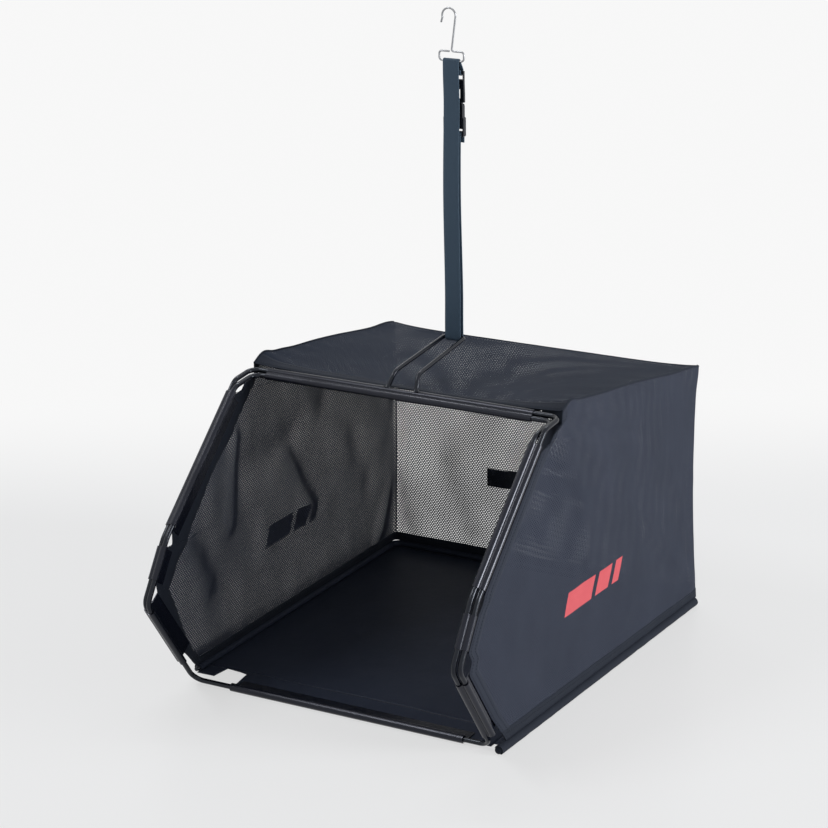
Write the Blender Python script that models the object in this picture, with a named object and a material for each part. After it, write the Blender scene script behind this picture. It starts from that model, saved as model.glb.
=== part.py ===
# Grass catcher for a hand mower: a bent steel rod frame with plastic clip rails,
# a mesh fabric bag with a solid floor, a lifting bail, and a strap with a buckle and a wire hook.
# Metres, +Z up. X runs across the mouth, +Y runs from the mouth to the back of the bag.

import math

import bmesh
import bpy
from mathutils import Vector

# Steel rods
ROD_DIAMETER = 0.006
FLOOR_ROD_DIAMETER = 0.005
BAIL_DIAMETER = 0.005
HOOK_WIRE = 0.0024
ROD_SIDES_RESOLUTION = 3

# Mouth of the frame, measured from the centre of its bottom rod
MOUTH_WIDTH = 0.392
ROD_LEVEL = 0.005
KNEE_FORWARD = 0.085
KNEE_HEIGHT = 0.120
WAIST_FORWARD = 0.0414
WAIST_HEIGHT = 0.188
SHOULDER_BACK = 0.107
SHOULDER_HEIGHT = 0.326
TOP_BACK = 0.148
TOP_HEIGHT = 0.330
FLOOR_CORNER_RADIUS = 0.014
KNEE_RADIUS = 0.016
WAIST_RADIUS = 0.040
SHOULDER_RADIUS = 0.020
TOP_CORNER_RADIUS = 0.012

# Second rod, a hoop behind the first one
SIDE_HOOP_BEHIND = 0.003
SIDE_HOOP_OUTSIDE = 0.0064
TOP_HOOP_BEHIND = 0.0055
TOP_HOOP_ABOVE = 0.0042
HOOP_TAIL = 0.045

# Clip rails that snap over the rods
CLIP_WALL = 0.001
BOTTOM_CLIP_WALL = 0.0016
CLIP_FIT = 0.0002
CLIP_SLIT = 0.003
CLIP_OUTER_GROOVE = math.radians(45)
CLIP_INNER_GROOVE = math.radians(50)
CLIP_FLANGE_REACH = 0.026
SIDE_FLANGE_DROP = 0.0014
TOP_FLANGE_DROP = 0.0015
BOTTOM_FLANGE_DROP = 0.0035
LOWER_CLIP_STARTS = (0.0345, 0.021)
LOWER_CLIP_LENGTH = 0.1015
MIDDLE_CLIP_STARTS = (0.031, 0.024)
MIDDLE_CLIP_LENGTH = 0.039
UPPER_CLIP_STARTS = (0.016, 0.012)
UPPER_CLIP_LENGTH = 0.180
TOP_CLIP_LEFT_INSET = 0.017
TOP_CLIP_RIGHT_INSET = 0.026
BOTTOM_CLIP_LEFT_INSET = 0.0525
BOTTOM_CLIP_RIGHT_INSET = 0.0334

# Bag
BAG_DEPTH = 0.502
BAG_REAR_HEIGHT = 0.298
BAG_REAR_SPREAD = 0.017
BAG_FLOOR_SPREAD = 0.021
BAG_FRONT_SPREAD = 0.0135
BAG_FRONT_RISE = 0.09
FABRIC = 0.0012
SEAM_GAP = 0.0003
HEM_BEHIND_ROD = 0.013
HEM_IN_GAPS = 0.026
HEM_AT_SHOULDER = 0.0245
HEM_BELOW_TOP = 0.0107
HEM_CORNERS = (0.026, 0.010)
EDGE_ARCH = 0.0095
EDGE_LIFT = 0.008
TOP_SAG = 0.004
SIDE_FULLNESS = 0.003
BACK_FULLNESS = 0.006
CORNER_PULL = 0.003
FOLD_DEPTH = 0.0012
PANEL_STEP = 0.030

# Floor with a sleeve for its rod
SLEEVE_RADIUS = 0.0045
SLEEVE_WALL = 0.0017
SLEEVE_FRONTS = (0.030, -0.0065)
FLOOR_BACK_RADIUS = 0.014
ROD_NUBS = (0.006, 0.002)
NOTCH_DEPTH = 0.050
NOTCH_SIDE = 0.014
FLOOR_FRONT = 0.006
CORNER_GAP_DEPTH = 0.0135
CORNER_GAP_INSET = 0.003

# Lifting bail on top
BAIL_FOOT_SPACING = 0.037
BAIL_BEND_SPACING = 0.0255
BAIL_BEND_BACK = 0.016
BAIL_BEND_RISE = 0.024
BAIL_REACH = 0.130
BAIL_RISE = 0.0375
BAIL_BEND_RADIUS = 0.012
BAIL_CORNER_RADIUS = 0.003
BAIL_NOTCH_CLEARANCE = 0.002

# Strap, buckle and hook
STRAP_WIDTH = 0.022
STRAP_THICKNESS = 0.0015
STRAP_RISE = 0.3265
STRAP_FIT = 0.0003
STRAP_SIDE_FIT = 0.0004
BUCKLE_WIDTH = 0.0264
BUCKLE_THICKNESS = 0.0058
PLUG_THICKNESS = 0.003
PLUG_WAIST_WIDTH = 0.0256
PLUG_HEAD_LENGTH = 0.036
PRONG_LENGTH = 0.018
SOCKET_LENGTH = 0.038
SOCKET_MOUTH_WIDTH = 0.0236
SOCKET_MOUTH_LENGTH = 0.015
SOCKET_WALL = 0.0012
BUCKLE_BAR = 0.003
BUCKLE_SLOT = 0.0065
BUCKLE_DROP = 0.012
BUCKLE_BEHIND = 0.0058
BUCKLE_SHOULDER_GAP = 0.002
STRAP_TAIL = 0.009
RING_WIDTH = 0.036
RING_HEIGHT = 0.013
RING_CORNER_RADIUS = 0.0035
SHANK_LENGTH = 0.0406
SHANK_LEAN = 0.0056
HOOK_RADIUS = 0.0086
HOOK_TIP = 0.009

# Grab handle on the back
HANDLE_LENGTH = 0.160
HANDLE_WIDTH = 0.024
HANDLE_THICKNESS = 0.0015
HANDLE_SEWN_END = 0.022
HANDLE_STAND_OFF = 0.012
HANDLE_HEIGHT = 0.116

# Sizes that follow from the ones above
ROD_RADIUS = ROD_DIAMETER / 2
CLIP_INNER = ROD_RADIUS + CLIP_FIT
CLIP_OUTER = CLIP_INNER + CLIP_WALL
HALF_MOUTH = MOUTH_WIDTH / 2
HALF_FABRIC = FABRIC / 2
SIDE_HOOP_OFFSET = Vector((SIDE_HOOP_BEHIND, SIDE_HOOP_OUTSIDE))
TOP_HOOP_OFFSET = Vector((TOP_HOOP_BEHIND, TOP_HOOP_ABOVE))
SLEEVE_LEVEL = SLEEVE_RADIUS + 0.0001
PANEL_BOTTOM = SLEEVE_LEVEL + SLEEVE_RADIUS + SEAM_GAP
FABRIC_ABOVE_FLANGE = CLIP_WALL + SEAM_GAP + HALF_FABRIC
SIDE_FRONT_HALF = HALF_MOUTH + SIDE_HOOP_OUTSIDE - SIDE_FLANGE_DROP + FABRIC_ABOVE_FLANGE
ARC_STEP = math.radians(18)
FOLD_COUNT = 2.5

PROFILE = [
    Vector((0.0, ROD_LEVEL)),
    Vector((-KNEE_FORWARD, ROD_LEVEL + KNEE_HEIGHT)),
    Vector((-WAIST_FORWARD, ROD_LEVEL + WAIST_HEIGHT)),
    Vector((SHOULDER_BACK, ROD_LEVEL + SHOULDER_HEIGHT)),
    Vector((TOP_BACK, ROD_LEVEL + TOP_HEIGHT)),
]
HOOP_TOP = PROFILE[4] + TOP_HOOP_OFFSET
TOP_EDGE_FRONT = HOOP_TOP.x + CLIP_OUTER + 2 * SEAM_GAP
REAR_TOP = ROD_LEVEL + BAG_REAR_HEIGHT
BAIL_END = Vector((TOP_BACK + BAIL_REACH, PROFILE[4].y + BAIL_RISE))
RING_BAR_LEVEL = BAIL_END.y + STRAP_RISE
BAIL_END_SPACING = STRAP_WIDTH + BAIL_DIAMETER + 2 * STRAP_SIDE_FIT


def clear_scene():
    for item in list(bpy.data.objects):
        bpy.data.objects.remove(item, do_unlink=True)


def finish(name, colour, roughness, metallic=0.0):
    material = bpy.data.materials.new(name)
    material.use_nodes = True
    shader = material.node_tree.nodes["Principled BSDF"]
    shader.inputs["Base Color"].default_value = (*colour, 1.0)
    shader.inputs["Roughness"].default_value = roughness
    shader.inputs["Metallic"].default_value = metallic
    return material


def black_steel(name):
    return finish(name + "_paint", (0.012, 0.013, 0.016), 0.3, 0.4)


def dark_plastic(name):
    return finish(name + "_plastic", (0.020, 0.022, 0.028), 0.4)


def mesh_fabric(name):
    return finish(name + "_fabric", (0.030, 0.034, 0.045), 0.85)


def webbing(name):
    return finish(name + "_webbing", (0.030, 0.045, 0.060), 0.8)


def add_object(name, data, material):
    item = bpy.data.objects.new(name, data)
    item.data.materials.append(material)
    bpy.context.scene.collection.objects.link(item)
    return item


def mesh_object(name, points, faces, material, smooth_angle=40):
    shape = bmesh.new()
    corners = [shape.verts.new(point) for point in points]
    for face in faces:
        shape.faces.new([corners[index] for index in face])
    bmesh.ops.recalc_face_normals(shape, faces=shape.faces)
    wide = [face for face in shape.faces if len(face.verts) > 4]
    bmesh.ops.triangulate(shape, faces=wide, ngon_method="EAR_CLIP")
    mesh = bpy.data.meshes.new(name)
    shape.to_mesh(mesh)
    shape.free()
    mesh.shade_smooth()
    mesh.set_sharp_from_angle(angle=math.radians(smooth_angle))
    return add_object(name, mesh, material)


def cutter(name, points, faces):
    item = mesh_object(name, points, faces, finish(name + "_guide", (1.0, 0.0, 0.0), 0.5))
    item.hide_render = True
    item.display_type = "WIRE"
    return item


def combine(item, tool, operation):
    change = item.modifiers.new(tool.name, "BOOLEAN")
    change.operation = operation
    change.solver = "EXACT"
    change.object = tool


def box_faces():
    return [(0, 1, 2, 3), (7, 6, 5, 4), (0, 4, 5, 1), (1, 5, 6, 2), (2, 6, 7, 3), (3, 7, 4, 0)]


def box_points(low, high):
    return [
        Vector((x, y, z))
        for z in (low[2], high[2])
        for x, y in ((low[0], low[1]), (high[0], low[1]), (high[0], high[1]), (low[0], high[1]))
    ]


def rounded_path(points, radii, closed=False):
    """Points of a polyline whose corners are replaced by arcs."""
    count = len(points)
    path = []
    for index, corner in enumerate(points):
        radius = radii[index]
        if radius == 0 or (not closed and index in (0, count - 1)):
            path.append(corner.copy())
            continue
        toward = (points[index - 1] - corner).normalized()
        away = (points[(index + 1) % count] - corner).normalized()
        half = toward.angle(away) / 2
        turn = math.pi - 2 * half
        centre = corner + (toward + away).normalized() * (radius / math.sin(half))
        start = corner + toward * (radius / math.tan(half)) - centre
        end = corner + away * (radius / math.tan(half)) - centre
        steps = max(2, math.ceil(turn / ARC_STEP))
        for step in range(steps + 1):
            share = step / steps
            first = math.sin((1 - share) * turn) / math.sin(turn)
            second = math.sin(share * turn) / math.sin(turn)
            path.append(centre + start * first + end * second)
    return path


def rod(name, path, diameter, material, closed=False, resolution=ROD_SIDES_RESOLUTION):
    """A round bar that follows a path."""
    curve = bpy.data.curves.new(name, "CURVE")
    curve.dimensions = "3D"
    curve.twist_mode = "MINIMUM"
    curve.bevel_depth = diameter / 2
    curve.bevel_resolution = resolution
    curve.use_fill_caps = True
    spline = curve.splines.new("POLY")
    spline.points.add(len(path) - 1)
    for point, place in zip(spline.points, path):
        point.co = (*place, 1.0)
    spline.use_cyclic_u = closed
    spline.use_smooth = True
    return add_object(name, curve, material)


def rise_normal(start, end):
    """Unit vector square to a rising side of the frame, pointing into the bag."""
    run = (end - start).normalized()
    return Vector((run.y, -run.x))


def meet(point, direction, other, other_direction):
    """Where two lines in the side view cross."""
    cross = direction.x * other_direction.y - direction.y * other_direction.x
    gap = other - point
    share = (gap.x * other_direction.y - gap.y * other_direction.x) / cross
    return point + direction * share


def offset_corner(index, distance):
    """Corner of the side profile, moved into the bag by a distance from both its sides."""
    before, corner, after = PROFILE[index - 1], PROFILE[index], PROFILE[index + 1]
    first = before + rise_normal(before, corner) * distance
    second = corner + rise_normal(corner, after) * distance
    return meet(first, corner - before, second, after - corner)


def along_side(segment, distance, offset):
    """Point at a distance up one straight run of the side profile, moved into the bag."""
    start, end = PROFILE[segment], PROFILE[segment + 1]
    return start + (end - start).normalized() * distance + rise_normal(start, end) * offset


def hoop_profile():
    """Side view of the second rod, from its tail in the lower clip to the top corner."""
    leg = PROFILE[4] - PROFILE[3]
    upper_run = along_side(2, 0.0, SIDE_HOOP_BEHIND)
    shoulder = meet(upper_run, PROFILE[3] - PROFILE[2], HOOP_TOP, leg)
    lower_length = (PROFILE[1] - PROFILE[0]).length
    return [
        along_side(0, lower_length - HOOP_TAIL, SIDE_HOOP_BEHIND),
        offset_corner(1, SIDE_HOOP_BEHIND),
        offset_corner(2, SIDE_HOOP_BEHIND),
        shoulder,
        HOOP_TOP,
    ]


def side_point(x, point):
    return Vector((x, point.x, point.y))


def front_frame():
    radii = [FLOOR_CORNER_RADIUS, KNEE_RADIUS, WAIST_RADIUS, SHOULDER_RADIUS, TOP_CORNER_RADIUS]
    right = [side_point(HALF_MOUTH, point) for point in PROFILE]
    left = [side_point(-HALF_MOUTH, point) for point in reversed(PROFILE)]
    path = rounded_path(right + left, radii + radii[::-1], closed=True)
    rod("front_frame", path, ROD_DIAMETER, black_steel("front_frame"), closed=True)


def bag_hoop():
    half = HALF_MOUTH + SIDE_HOOP_OUTSIDE
    radii = [
        0.0,
        KNEE_RADIUS - SIDE_HOOP_BEHIND,
        WAIST_RADIUS,
        SHOULDER_RADIUS - SIDE_HOOP_BEHIND,
        TOP_CORNER_RADIUS,
    ]
    profile = hoop_profile()
    right = [side_point(half, point) for point in profile]
    left = [side_point(-half, point) for point in reversed(profile)]
    path = rounded_path(right + left, radii + radii[::-1])
    rod("bag_hoop", path, ROD_DIAMETER, black_steel("bag_hoop"))


def arc_points(centre, radius, start, end):
    steps = max(1, math.ceil(abs(end - start) / math.radians(20)))
    angles = [start + (end - start) * step / steps for step in range(steps + 1)]
    return [centre + Vector((math.cos(angle), math.sin(angle))) * radius for angle in angles]


def clip_section(hoop_offset, flange_drop, wall=CLIP_WALL):
    """Outline of a clip rail round one or two rods, with its slit, its groove and its sewing flange."""
    spacing = hoop_offset.length
    outer = CLIP_INNER + wall
    lean = math.atan2(hoop_offset.y, hoop_offset.x) if spacing else 0.0
    down = lean - math.pi / 2
    up = lean + math.pi / 2
    front = Vector((0.0, 0.0))
    back = hoop_offset
    low = back.y - flange_drop
    high = low + CLIP_WALL
    low_angle = math.asin((low - back.y) / outer)
    high_angle = math.asin((high - back.y) / outer)
    reach = [Vector((CLIP_FLANGE_REACH, low)), Vector((CLIP_FLANGE_REACH, high))]
    along = Vector((math.cos(lean), math.sin(lean)))
    outer_start, outer_end, inner_start, inner_end = down, down, down, down
    slit_outer, slit_inner = [], []
    outer_groove, inner_groove = 0.0, 0.0
    if spacing:
        outer_groove, inner_groove = CLIP_OUTER_GROOVE, CLIP_INNER_GROOVE
        middle = (front + back) / 2
        inward = Vector((math.cos(down), math.sin(down)))
        for side, radius in ((-1, outer), (-1, CLIP_INNER)):
            slit_outer.append(middle + along * side * CLIP_SLIT / 2 + inward * radius)
        for side, radius in ((1, CLIP_INNER), (1, outer)):
            slit_inner.append(middle + along * side * CLIP_SLIT / 2 + inward * radius)
    else:
        outer_half = math.asin(CLIP_SLIT / 2 / outer)
        inner_half = math.asin(CLIP_SLIT / 2 / CLIP_INNER)
        outer_start, outer_end = down + outer_half, down - outer_half
        inner_start, inner_end = down + inner_half, down - inner_half
    outline = arc_points(back, outer, outer_start, low_angle)
    outline += reach
    outline += arc_points(back, outer, high_angle, up + outer_groove)
    outline += arc_points(front, outer, up - outer_groove, outer_end + 2 * math.pi)
    outline += slit_outer
    outline += arc_points(front, CLIP_INNER, inner_end + 2 * math.pi, up - inner_groove)
    outline += arc_points(back, CLIP_INNER, up + inner_groove, inner_start)
    outline += slit_inner
    return drop_repeats(outline)


def drop_repeats(points):
    kept = []
    for point in points:
        if not kept or (point - kept[-1]).length > 0.00001:
            kept.append(point)
    if (kept[0] - kept[-1]).length < 0.00001:
        kept.pop()
    return kept


def extrude_section(name, section, start, end, first_axis, second_axis, material):
    """A straight bar of constant section between two points."""
    count = len(section)
    points = []
    for base in (start, end):
        points += [base + first_axis * point.x + second_axis * point.y for point in section]
    faces = [tuple(range(count - 1, -1, -1)), tuple(range(count, 2 * count))]
    for index in range(count):
        after = (index + 1) % count
        faces.append((index, after, after + count, index + count))
    return mesh_object(name, points, faces, material, smooth_angle=30)


def side_clips():
    section = clip_section(SIDE_HOOP_OFFSET, SIDE_FLANGE_DROP)
    spans = {
        "lower": (0, LOWER_CLIP_STARTS, LOWER_CLIP_LENGTH),
        "middle": (1, MIDDLE_CLIP_STARTS, MIDDLE_CLIP_LENGTH),
        "upper": (2, UPPER_CLIP_STARTS, UPPER_CLIP_LENGTH),
    }
    for label, (segment, starts, length) in spans.items():
        inward = rise_normal(PROFILE[segment], PROFILE[segment + 1])
        for side, hand, start in ((-1, "left", starts[0]), (1, "right", starts[1])):
            name = f"clip_{label}_{hand}"
            extrude_section(
                name,
                section,
                side_point(side * HALF_MOUTH, along_side(segment, start, 0.0)),
                side_point(side * HALF_MOUTH, along_side(segment, start + length, 0.0)),
                Vector((0.0, inward.x, inward.y)),
                Vector((side, 0.0, 0.0)),
                dark_plastic(name),
            )


def top_clip():
    name = "clip_top"
    clip = extrude_section(
        name,
        clip_section(TOP_HOOP_OFFSET, TOP_FLANGE_DROP),
        side_point(-HALF_MOUTH + TOP_CLIP_LEFT_INSET, PROFILE[4]),
        side_point(HALF_MOUTH - TOP_CLIP_RIGHT_INSET, PROFILE[4]),
        Vector((0.0, 1.0, 0.0)),
        Vector((0.0, 0.0, 1.0)),
        dark_plastic(name),
    )
    half = BAIL_FOOT_SPACING / 2 + BAIL_DIAMETER / 2 + BAIL_NOTCH_CLEARANCE
    front = TOP_BACK + TOP_HOOP_BEHIND / 2
    low = (-half, front, PROFILE[4].y - 2 * CLIP_OUTER)
    high = (half, front + 2 * CLIP_FLANGE_REACH, PROFILE[4].y + 3 * CLIP_OUTER)
    combine(clip, cutter("bail_notch", box_points(low, high), box_faces()), "DIFFERENCE")


def bottom_clip():
    name = "clip_bottom"
    extrude_section(
        name,
        clip_section(Vector((0.0, 0.0)), BOTTOM_FLANGE_DROP, BOTTOM_CLIP_WALL),
        side_point(-HALF_MOUTH + BOTTOM_CLIP_LEFT_INSET, PROFILE[0]),
        side_point(HALF_MOUTH - BOTTOM_CLIP_RIGHT_INSET, PROFILE[0]),
        Vector((0.0, 1.0, 0.0)),
        Vector((0.0, 0.0, 1.0)),
        dark_plastic(name),
    )


def lifting_bail():
    foot_base = Vector((0.0, HOOP_TOP.x, HOOP_TOP.y))
    path = []
    for side in (1, -1):
        bend = Vector((side * BAIL_BEND_SPACING / 2, TOP_BACK + BAIL_BEND_BACK, PROFILE[4].y + BAIL_BEND_RISE))
        foot = foot_base + Vector((side * BAIL_FOOT_SPACING / 2, 0.0, 0.0))
        rise = Vector((0.0, bend.y - foot.y, bend.z - foot.z)).normalized()
        lean = (bend - foot).angle(rise)
        foot += rise * (ROD_RADIUS + SEAM_GAP + BAIL_DIAMETER / 2 * math.sin(lean))
        end = Vector((side * BAIL_END_SPACING / 2, BAIL_END.x, BAIL_END.y))
        leg = [foot, bend, end]
        path += leg if side == 1 else leg[::-1]
    radii = [0.0, BAIL_BEND_RADIUS, BAIL_CORNER_RADIUS]
    path = rounded_path(path, radii + radii[::-1])
    rod("lifting_bail", path, BAIL_DIAMETER, black_steel("lifting_bail"))


def smooth(low, high, value):
    share = min(1.0, max(0.0, (value - low) / (high - low)))
    return share * share * (3 - 2 * share)


def mix(first, second, share):
    return first + (second - first) * share


def edge_height(share):
    """Height of the seam between the top and a side, from the mouth (0) to the back (1)."""
    straight = mix(PROFILE[4].y, REAR_TOP, share)
    return straight + EDGE_LIFT * (1 - share) + EDGE_ARCH * math.sin(math.pi * share ** 0.75)


def hem_half_width(share):
    return HALF_MOUTH + mix(BAG_FRONT_SPREAD, BAG_FLOOR_SPREAD, share)


def side_half_width(rise, share):
    """Half width of the bag at the middle of a side's fabric; rise is 0 at the floor, 1 at the top."""
    rear = mix(BAG_FLOOR_SPREAD, BAG_REAR_SPREAD, rise) + HALF_MOUTH
    rear -= CORNER_PULL * math.sin(math.pi * rise)
    front = mix(hem_half_width(0.0), SIDE_FRONT_HALF, smooth(0.0, BAG_FRONT_RISE, rise))
    width = mix(front, rear, share)
    width += SIDE_FULLNESS * math.sin(math.pi * rise) * math.sin(math.pi * share)
    fold = math.sin(2 * math.pi * FOLD_COUNT * (share + 0.5 * rise))
    fade = smooth(0.1, 0.4, share) * smooth(1.0, 0.8, share) * math.sin(math.pi * rise)
    return width + FOLD_DEPTH * fold * fade


def rear_line(rise):
    """How far back the rear corner of the bag stands at a height."""
    return BAG_DEPTH - CORNER_PULL * math.sin(math.pi * rise)


def side_front_edge(hand):
    """Front edge of the left (0) or right (1) side's fabric, from the floor to the top seam."""
    lower, middle, upper = LOWER_CLIP_STARTS[hand], MIDDLE_CLIP_STARTS[hand], UPPER_CLIP_STARTS[hand]
    upper_length = (PROFILE[3] - PROFILE[2]).length
    under_hoop = ROD_RADIUS + 0.5 * HEM_BEHIND_ROD - HALF_FABRIC
    below_leg = Vector((mix(PROFILE[3].x, PROFILE[4].x, 0.7), PROFILE[4].y - HEM_BELOW_TOP))
    return [
        Vector((HEM_CORNERS[hand], PANEL_BOTTOM)),
        along_side(0, lower, HEM_BEHIND_ROD),
        along_side(0, lower + LOWER_CLIP_LENGTH, HEM_BEHIND_ROD),
        offset_corner(1, HEM_IN_GAPS),
        along_side(1, middle, HEM_BEHIND_ROD),
        along_side(1, middle + MIDDLE_CLIP_LENGTH, HEM_BEHIND_ROD),
        offset_corner(2, HEM_IN_GAPS),
        along_side(2, upper, HEM_BEHIND_ROD),
        along_side(2, upper + UPPER_CLIP_LENGTH, HEM_BEHIND_ROD),
        along_side(2, upper_length, HEM_AT_SHOULDER),
        below_leg,
        Vector((TOP_EDGE_FRONT, HOOP_TOP.y - under_hoop)),
        Vector((TOP_EDGE_FRONT, edge_height(0.0))),
    ]


def split_edge(points, step):
    """Points of a polyline with steps no longer than given, and each point's share of its length."""
    dense = [points[0]]
    for start, end in zip(points, points[1:]):
        pieces = max(1, math.ceil((end - start).length / step))
        dense += [mix(start, end, piece / pieces) for piece in range(1, pieces + 1)]
    lengths = [0.0]
    for start, end in zip(dense, dense[1:]):
        lengths.append(lengths[-1] + (end - start).length)
    return dense, [length / lengths[-1] for length in lengths]


def fabric_panel(name, grid, axis, material):
    """A closed sheet of fabric round a grid of points, thick along one axis."""
    rows = len(grid)
    columns = len(grid[0])
    points = []
    for side in (-1, 1):
        points += [point + axis * side * HALF_FABRIC for row in grid for point in row]
    faces = []
    layer = rows * columns
    for row in range(rows - 1):
        for column in range(columns - 1):
            corner = row * columns + column
            quad = (corner, corner + 1, corner + columns + 1, corner + columns)
            faces.append(quad[::-1])
            faces.append(tuple(index + layer for index in quad))
    rim = [column for column in range(columns)]
    rim += [row * columns + columns - 1 for row in range(1, rows)]
    rim += [(rows - 1) * columns + column for column in range(columns - 2, -1, -1)]
    rim += [row * columns for row in range(rows - 2, 0, -1)]
    for index, corner in enumerate(rim):
        after = rim[(index + 1) % len(rim)]
        faces.append((corner, after, after + layer, corner + layer))
    return mesh_object(name, points, faces, material, smooth_angle=50)


def side_panels():
    columns = math.ceil(BAG_DEPTH / PANEL_STEP)
    rear_height = edge_height(1.0) - PANEL_BOTTOM
    for side, hand, name in ((-1, 0, "left_panel"), (1, 1, "right_panel")):
        edge, rises = split_edge(side_front_edge(hand), PANEL_STEP)
        grid = []
        for front, rise in zip(edge, rises):
            rear = Vector((rear_line(rise), PANEL_BOTTOM + rear_height * rise))
            row = []
            for column in range(columns + 1):
                share = column / columns
                place = mix(front, rear, share)
                straight = mix(edge[-1].y, edge_height(1.0), share)
                place.y += (edge_height(share) - straight) * rise ** 4
                row.append(side_point(side * side_half_width(rise, share), place))
            grid.append(row)
        fabric_panel(name, grid, Vector((1.0, 0.0, 0.0)), mesh_fabric(name))


def crown(across):
    return abs(across) ** 2.2


def top_height(across, share):
    """Middle of the top's fabric, level with the side seams at its edges and lower between them."""
    seam = edge_height(share) - HALF_FABRIC
    flange_top = HOOP_TOP.y - TOP_FLANGE_DROP + CLIP_WALL
    middle = mix(flange_top + 3 * FABRIC, REAR_TOP - HALF_FABRIC, share)
    middle -= TOP_SAG * math.sin(math.pi * share)
    return mix(middle, seam, crown(across))


def top_panel():
    rows = math.ceil((BAG_DEPTH - TOP_EDGE_FRONT) / PANEL_STEP)
    columns = 2 * math.ceil(HALF_MOUTH / PANEL_STEP)
    grid = []
    for row_index in range(rows + 1):
        share = row_index / rows
        half = side_half_width(1.0, share) - HALF_FABRIC - SEAM_GAP
        back = mix(TOP_EDGE_FRONT, BAG_DEPTH, share)
        row = []
        for column in range(columns + 1):
            across = 2 * column / columns - 1
            row.append(Vector((across * half, back, top_height(across, share))))
        grid.append(row)
    fabric_panel("top_panel", grid, Vector((0.0, 0.0, 1.0)), mesh_fabric("top_panel"))


def back_surface(across, rise):
    """Outer face of the back, fuller in the middle than at its seams."""
    fullness = BACK_FULLNESS * math.cos(0.5 * math.pi * across) * math.sin(math.pi * rise)
    return rear_line(rise) + fullness


def back_panel():
    top = REAR_TOP - 2 * FABRIC - SEAM_GAP
    rows = math.ceil((top - PANEL_BOTTOM) / PANEL_STEP)
    columns = 2 * math.ceil(HALF_MOUTH / PANEL_STEP)
    grid = []
    for row_index in range(rows + 1):
        rise = row_index / rows
        half = side_half_width(rise, 1.0) - HALF_FABRIC - SEAM_GAP - FABRIC
        row = []
        for column in range(columns + 1):
            across = 2 * column / columns - 1
            depth = back_surface(across, rise) - HALF_FABRIC
            row.append(Vector((across * half, depth, mix(PANEL_BOTTOM, top, rise))))
        grid.append(row)
    fabric_panel("back_panel", grid, Vector((0.0, 1.0, 0.0)), mesh_fabric("back_panel"))


def sleeve_path(left_front, right_front):
    """Centre line of the floor's sleeve: up one side, across the back and down the other."""
    back = BAG_DEPTH - HALF_FABRIC
    half = hem_half_width(1.0)
    corners = [
        Vector((hem_half_width(0.0), right_front, SLEEVE_LEVEL)),
        Vector((half, back, SLEEVE_LEVEL)),
        Vector((-half, back, SLEEVE_LEVEL)),
        Vector((-hem_half_width(0.0), left_front, SLEEVE_LEVEL)),
    ]
    return rounded_path(corners, [0.0, FLOOR_BACK_RADIUS, FLOOR_BACK_RADIUS, 0.0])


def pipe(name, path, outer, inner, sides):
    """An open tube with a real bore along a level path."""
    points = []
    for index, place in enumerate(path):
        before = path[max(0, index - 1)]
        after = path[min(len(path) - 1, index + 1)]
        run = (after - before).normalized()
        across = Vector((run.y, -run.x, 0.0))
        for radius in (outer, inner):
            for side in range(sides):
                angle = 2 * math.pi * (side + 0.5) / sides
                points.append(place + across * radius * math.cos(angle) + Vector((0, 0, radius * math.sin(angle))))
    faces = []
    ring = 2 * sides
    for station in range(len(path) - 1):
        for wall in (0, sides):
            for side in range(sides):
                first = station * ring + wall + side
                second = station * ring + wall + (side + 1) % sides
                faces.append((first, second, second + ring, first + ring))
    for station in (0, len(path) - 1):
        for side in range(sides):
            first = station * ring + side
            second = station * ring + (side + 1) % sides
            faces.append((first, second, second + sides, first + sides))
    return cutter(name, points, faces)


def floor_outline():
    """Outline of the flat floor, with a notch at the left and a gap at the right front corner."""
    inset = 0.0005
    edge = []
    for point in sleeve_path(*SLEEVE_FRONTS):
        pull = Vector((math.copysign(inset, point.x), inset if point.y > BAG_DEPTH / 2 else 0.0))
        edge.append(point.xy - pull)
    gap_inner = HALF_MOUTH - CORNER_GAP_INSET
    gap_outer = edge[0].x - SLEEVE_RADIUS / 2
    tab = -HALF_MOUTH + NOTCH_SIDE
    clip_end = -HALF_MOUTH + BOTTOM_CLIP_LEFT_INSET
    front_right = [
        Vector((gap_inner, FLOOR_FRONT)),
        Vector((gap_inner, CORNER_GAP_DEPTH)),
        Vector((gap_outer, CORNER_GAP_DEPTH)),
        Vector((gap_outer, SLEEVE_FRONTS[1])),
    ]
    front_left = [
        Vector((tab - 0.003, SLEEVE_FRONTS[0] - 0.005)),
        Vector((tab, NOTCH_DEPTH)),
        Vector((clip_end - 0.008, NOTCH_DEPTH - 0.004)),
        Vector((clip_end - 0.005, 2 * FLOOR_FRONT)),
        Vector((clip_end, FLOOR_FRONT)),
    ]
    return front_right + edge + front_left


def floor_panel():
    outline = floor_outline()
    floor = extrude_section(
        "floor_panel",
        outline,
        Vector((0.0, 0.0, 0.0)),
        Vector((0.0, 0.0, FABRIC)),
        Vector((1.0, 0.0, 0.0)),
        Vector((0.0, 1.0, 0.0)),
        finish("floor_panel_fabric", (0.006, 0.008, 0.014), 0.9),
    )
    sleeve = pipe("floor_sleeve", sleeve_path(*SLEEVE_FRONTS), SLEEVE_RADIUS, SLEEVE_RADIUS - SLEEVE_WALL, 12)
    combine(floor, sleeve, "UNION")


def floor_rod():
    path = sleeve_path(SLEEVE_FRONTS[0] - ROD_NUBS[0], SLEEVE_FRONTS[1] - ROD_NUBS[1])
    rod("floor_rod", path, FLOOR_ROD_DIAMETER, black_steel("floor_rod"), resolution=2)


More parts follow.
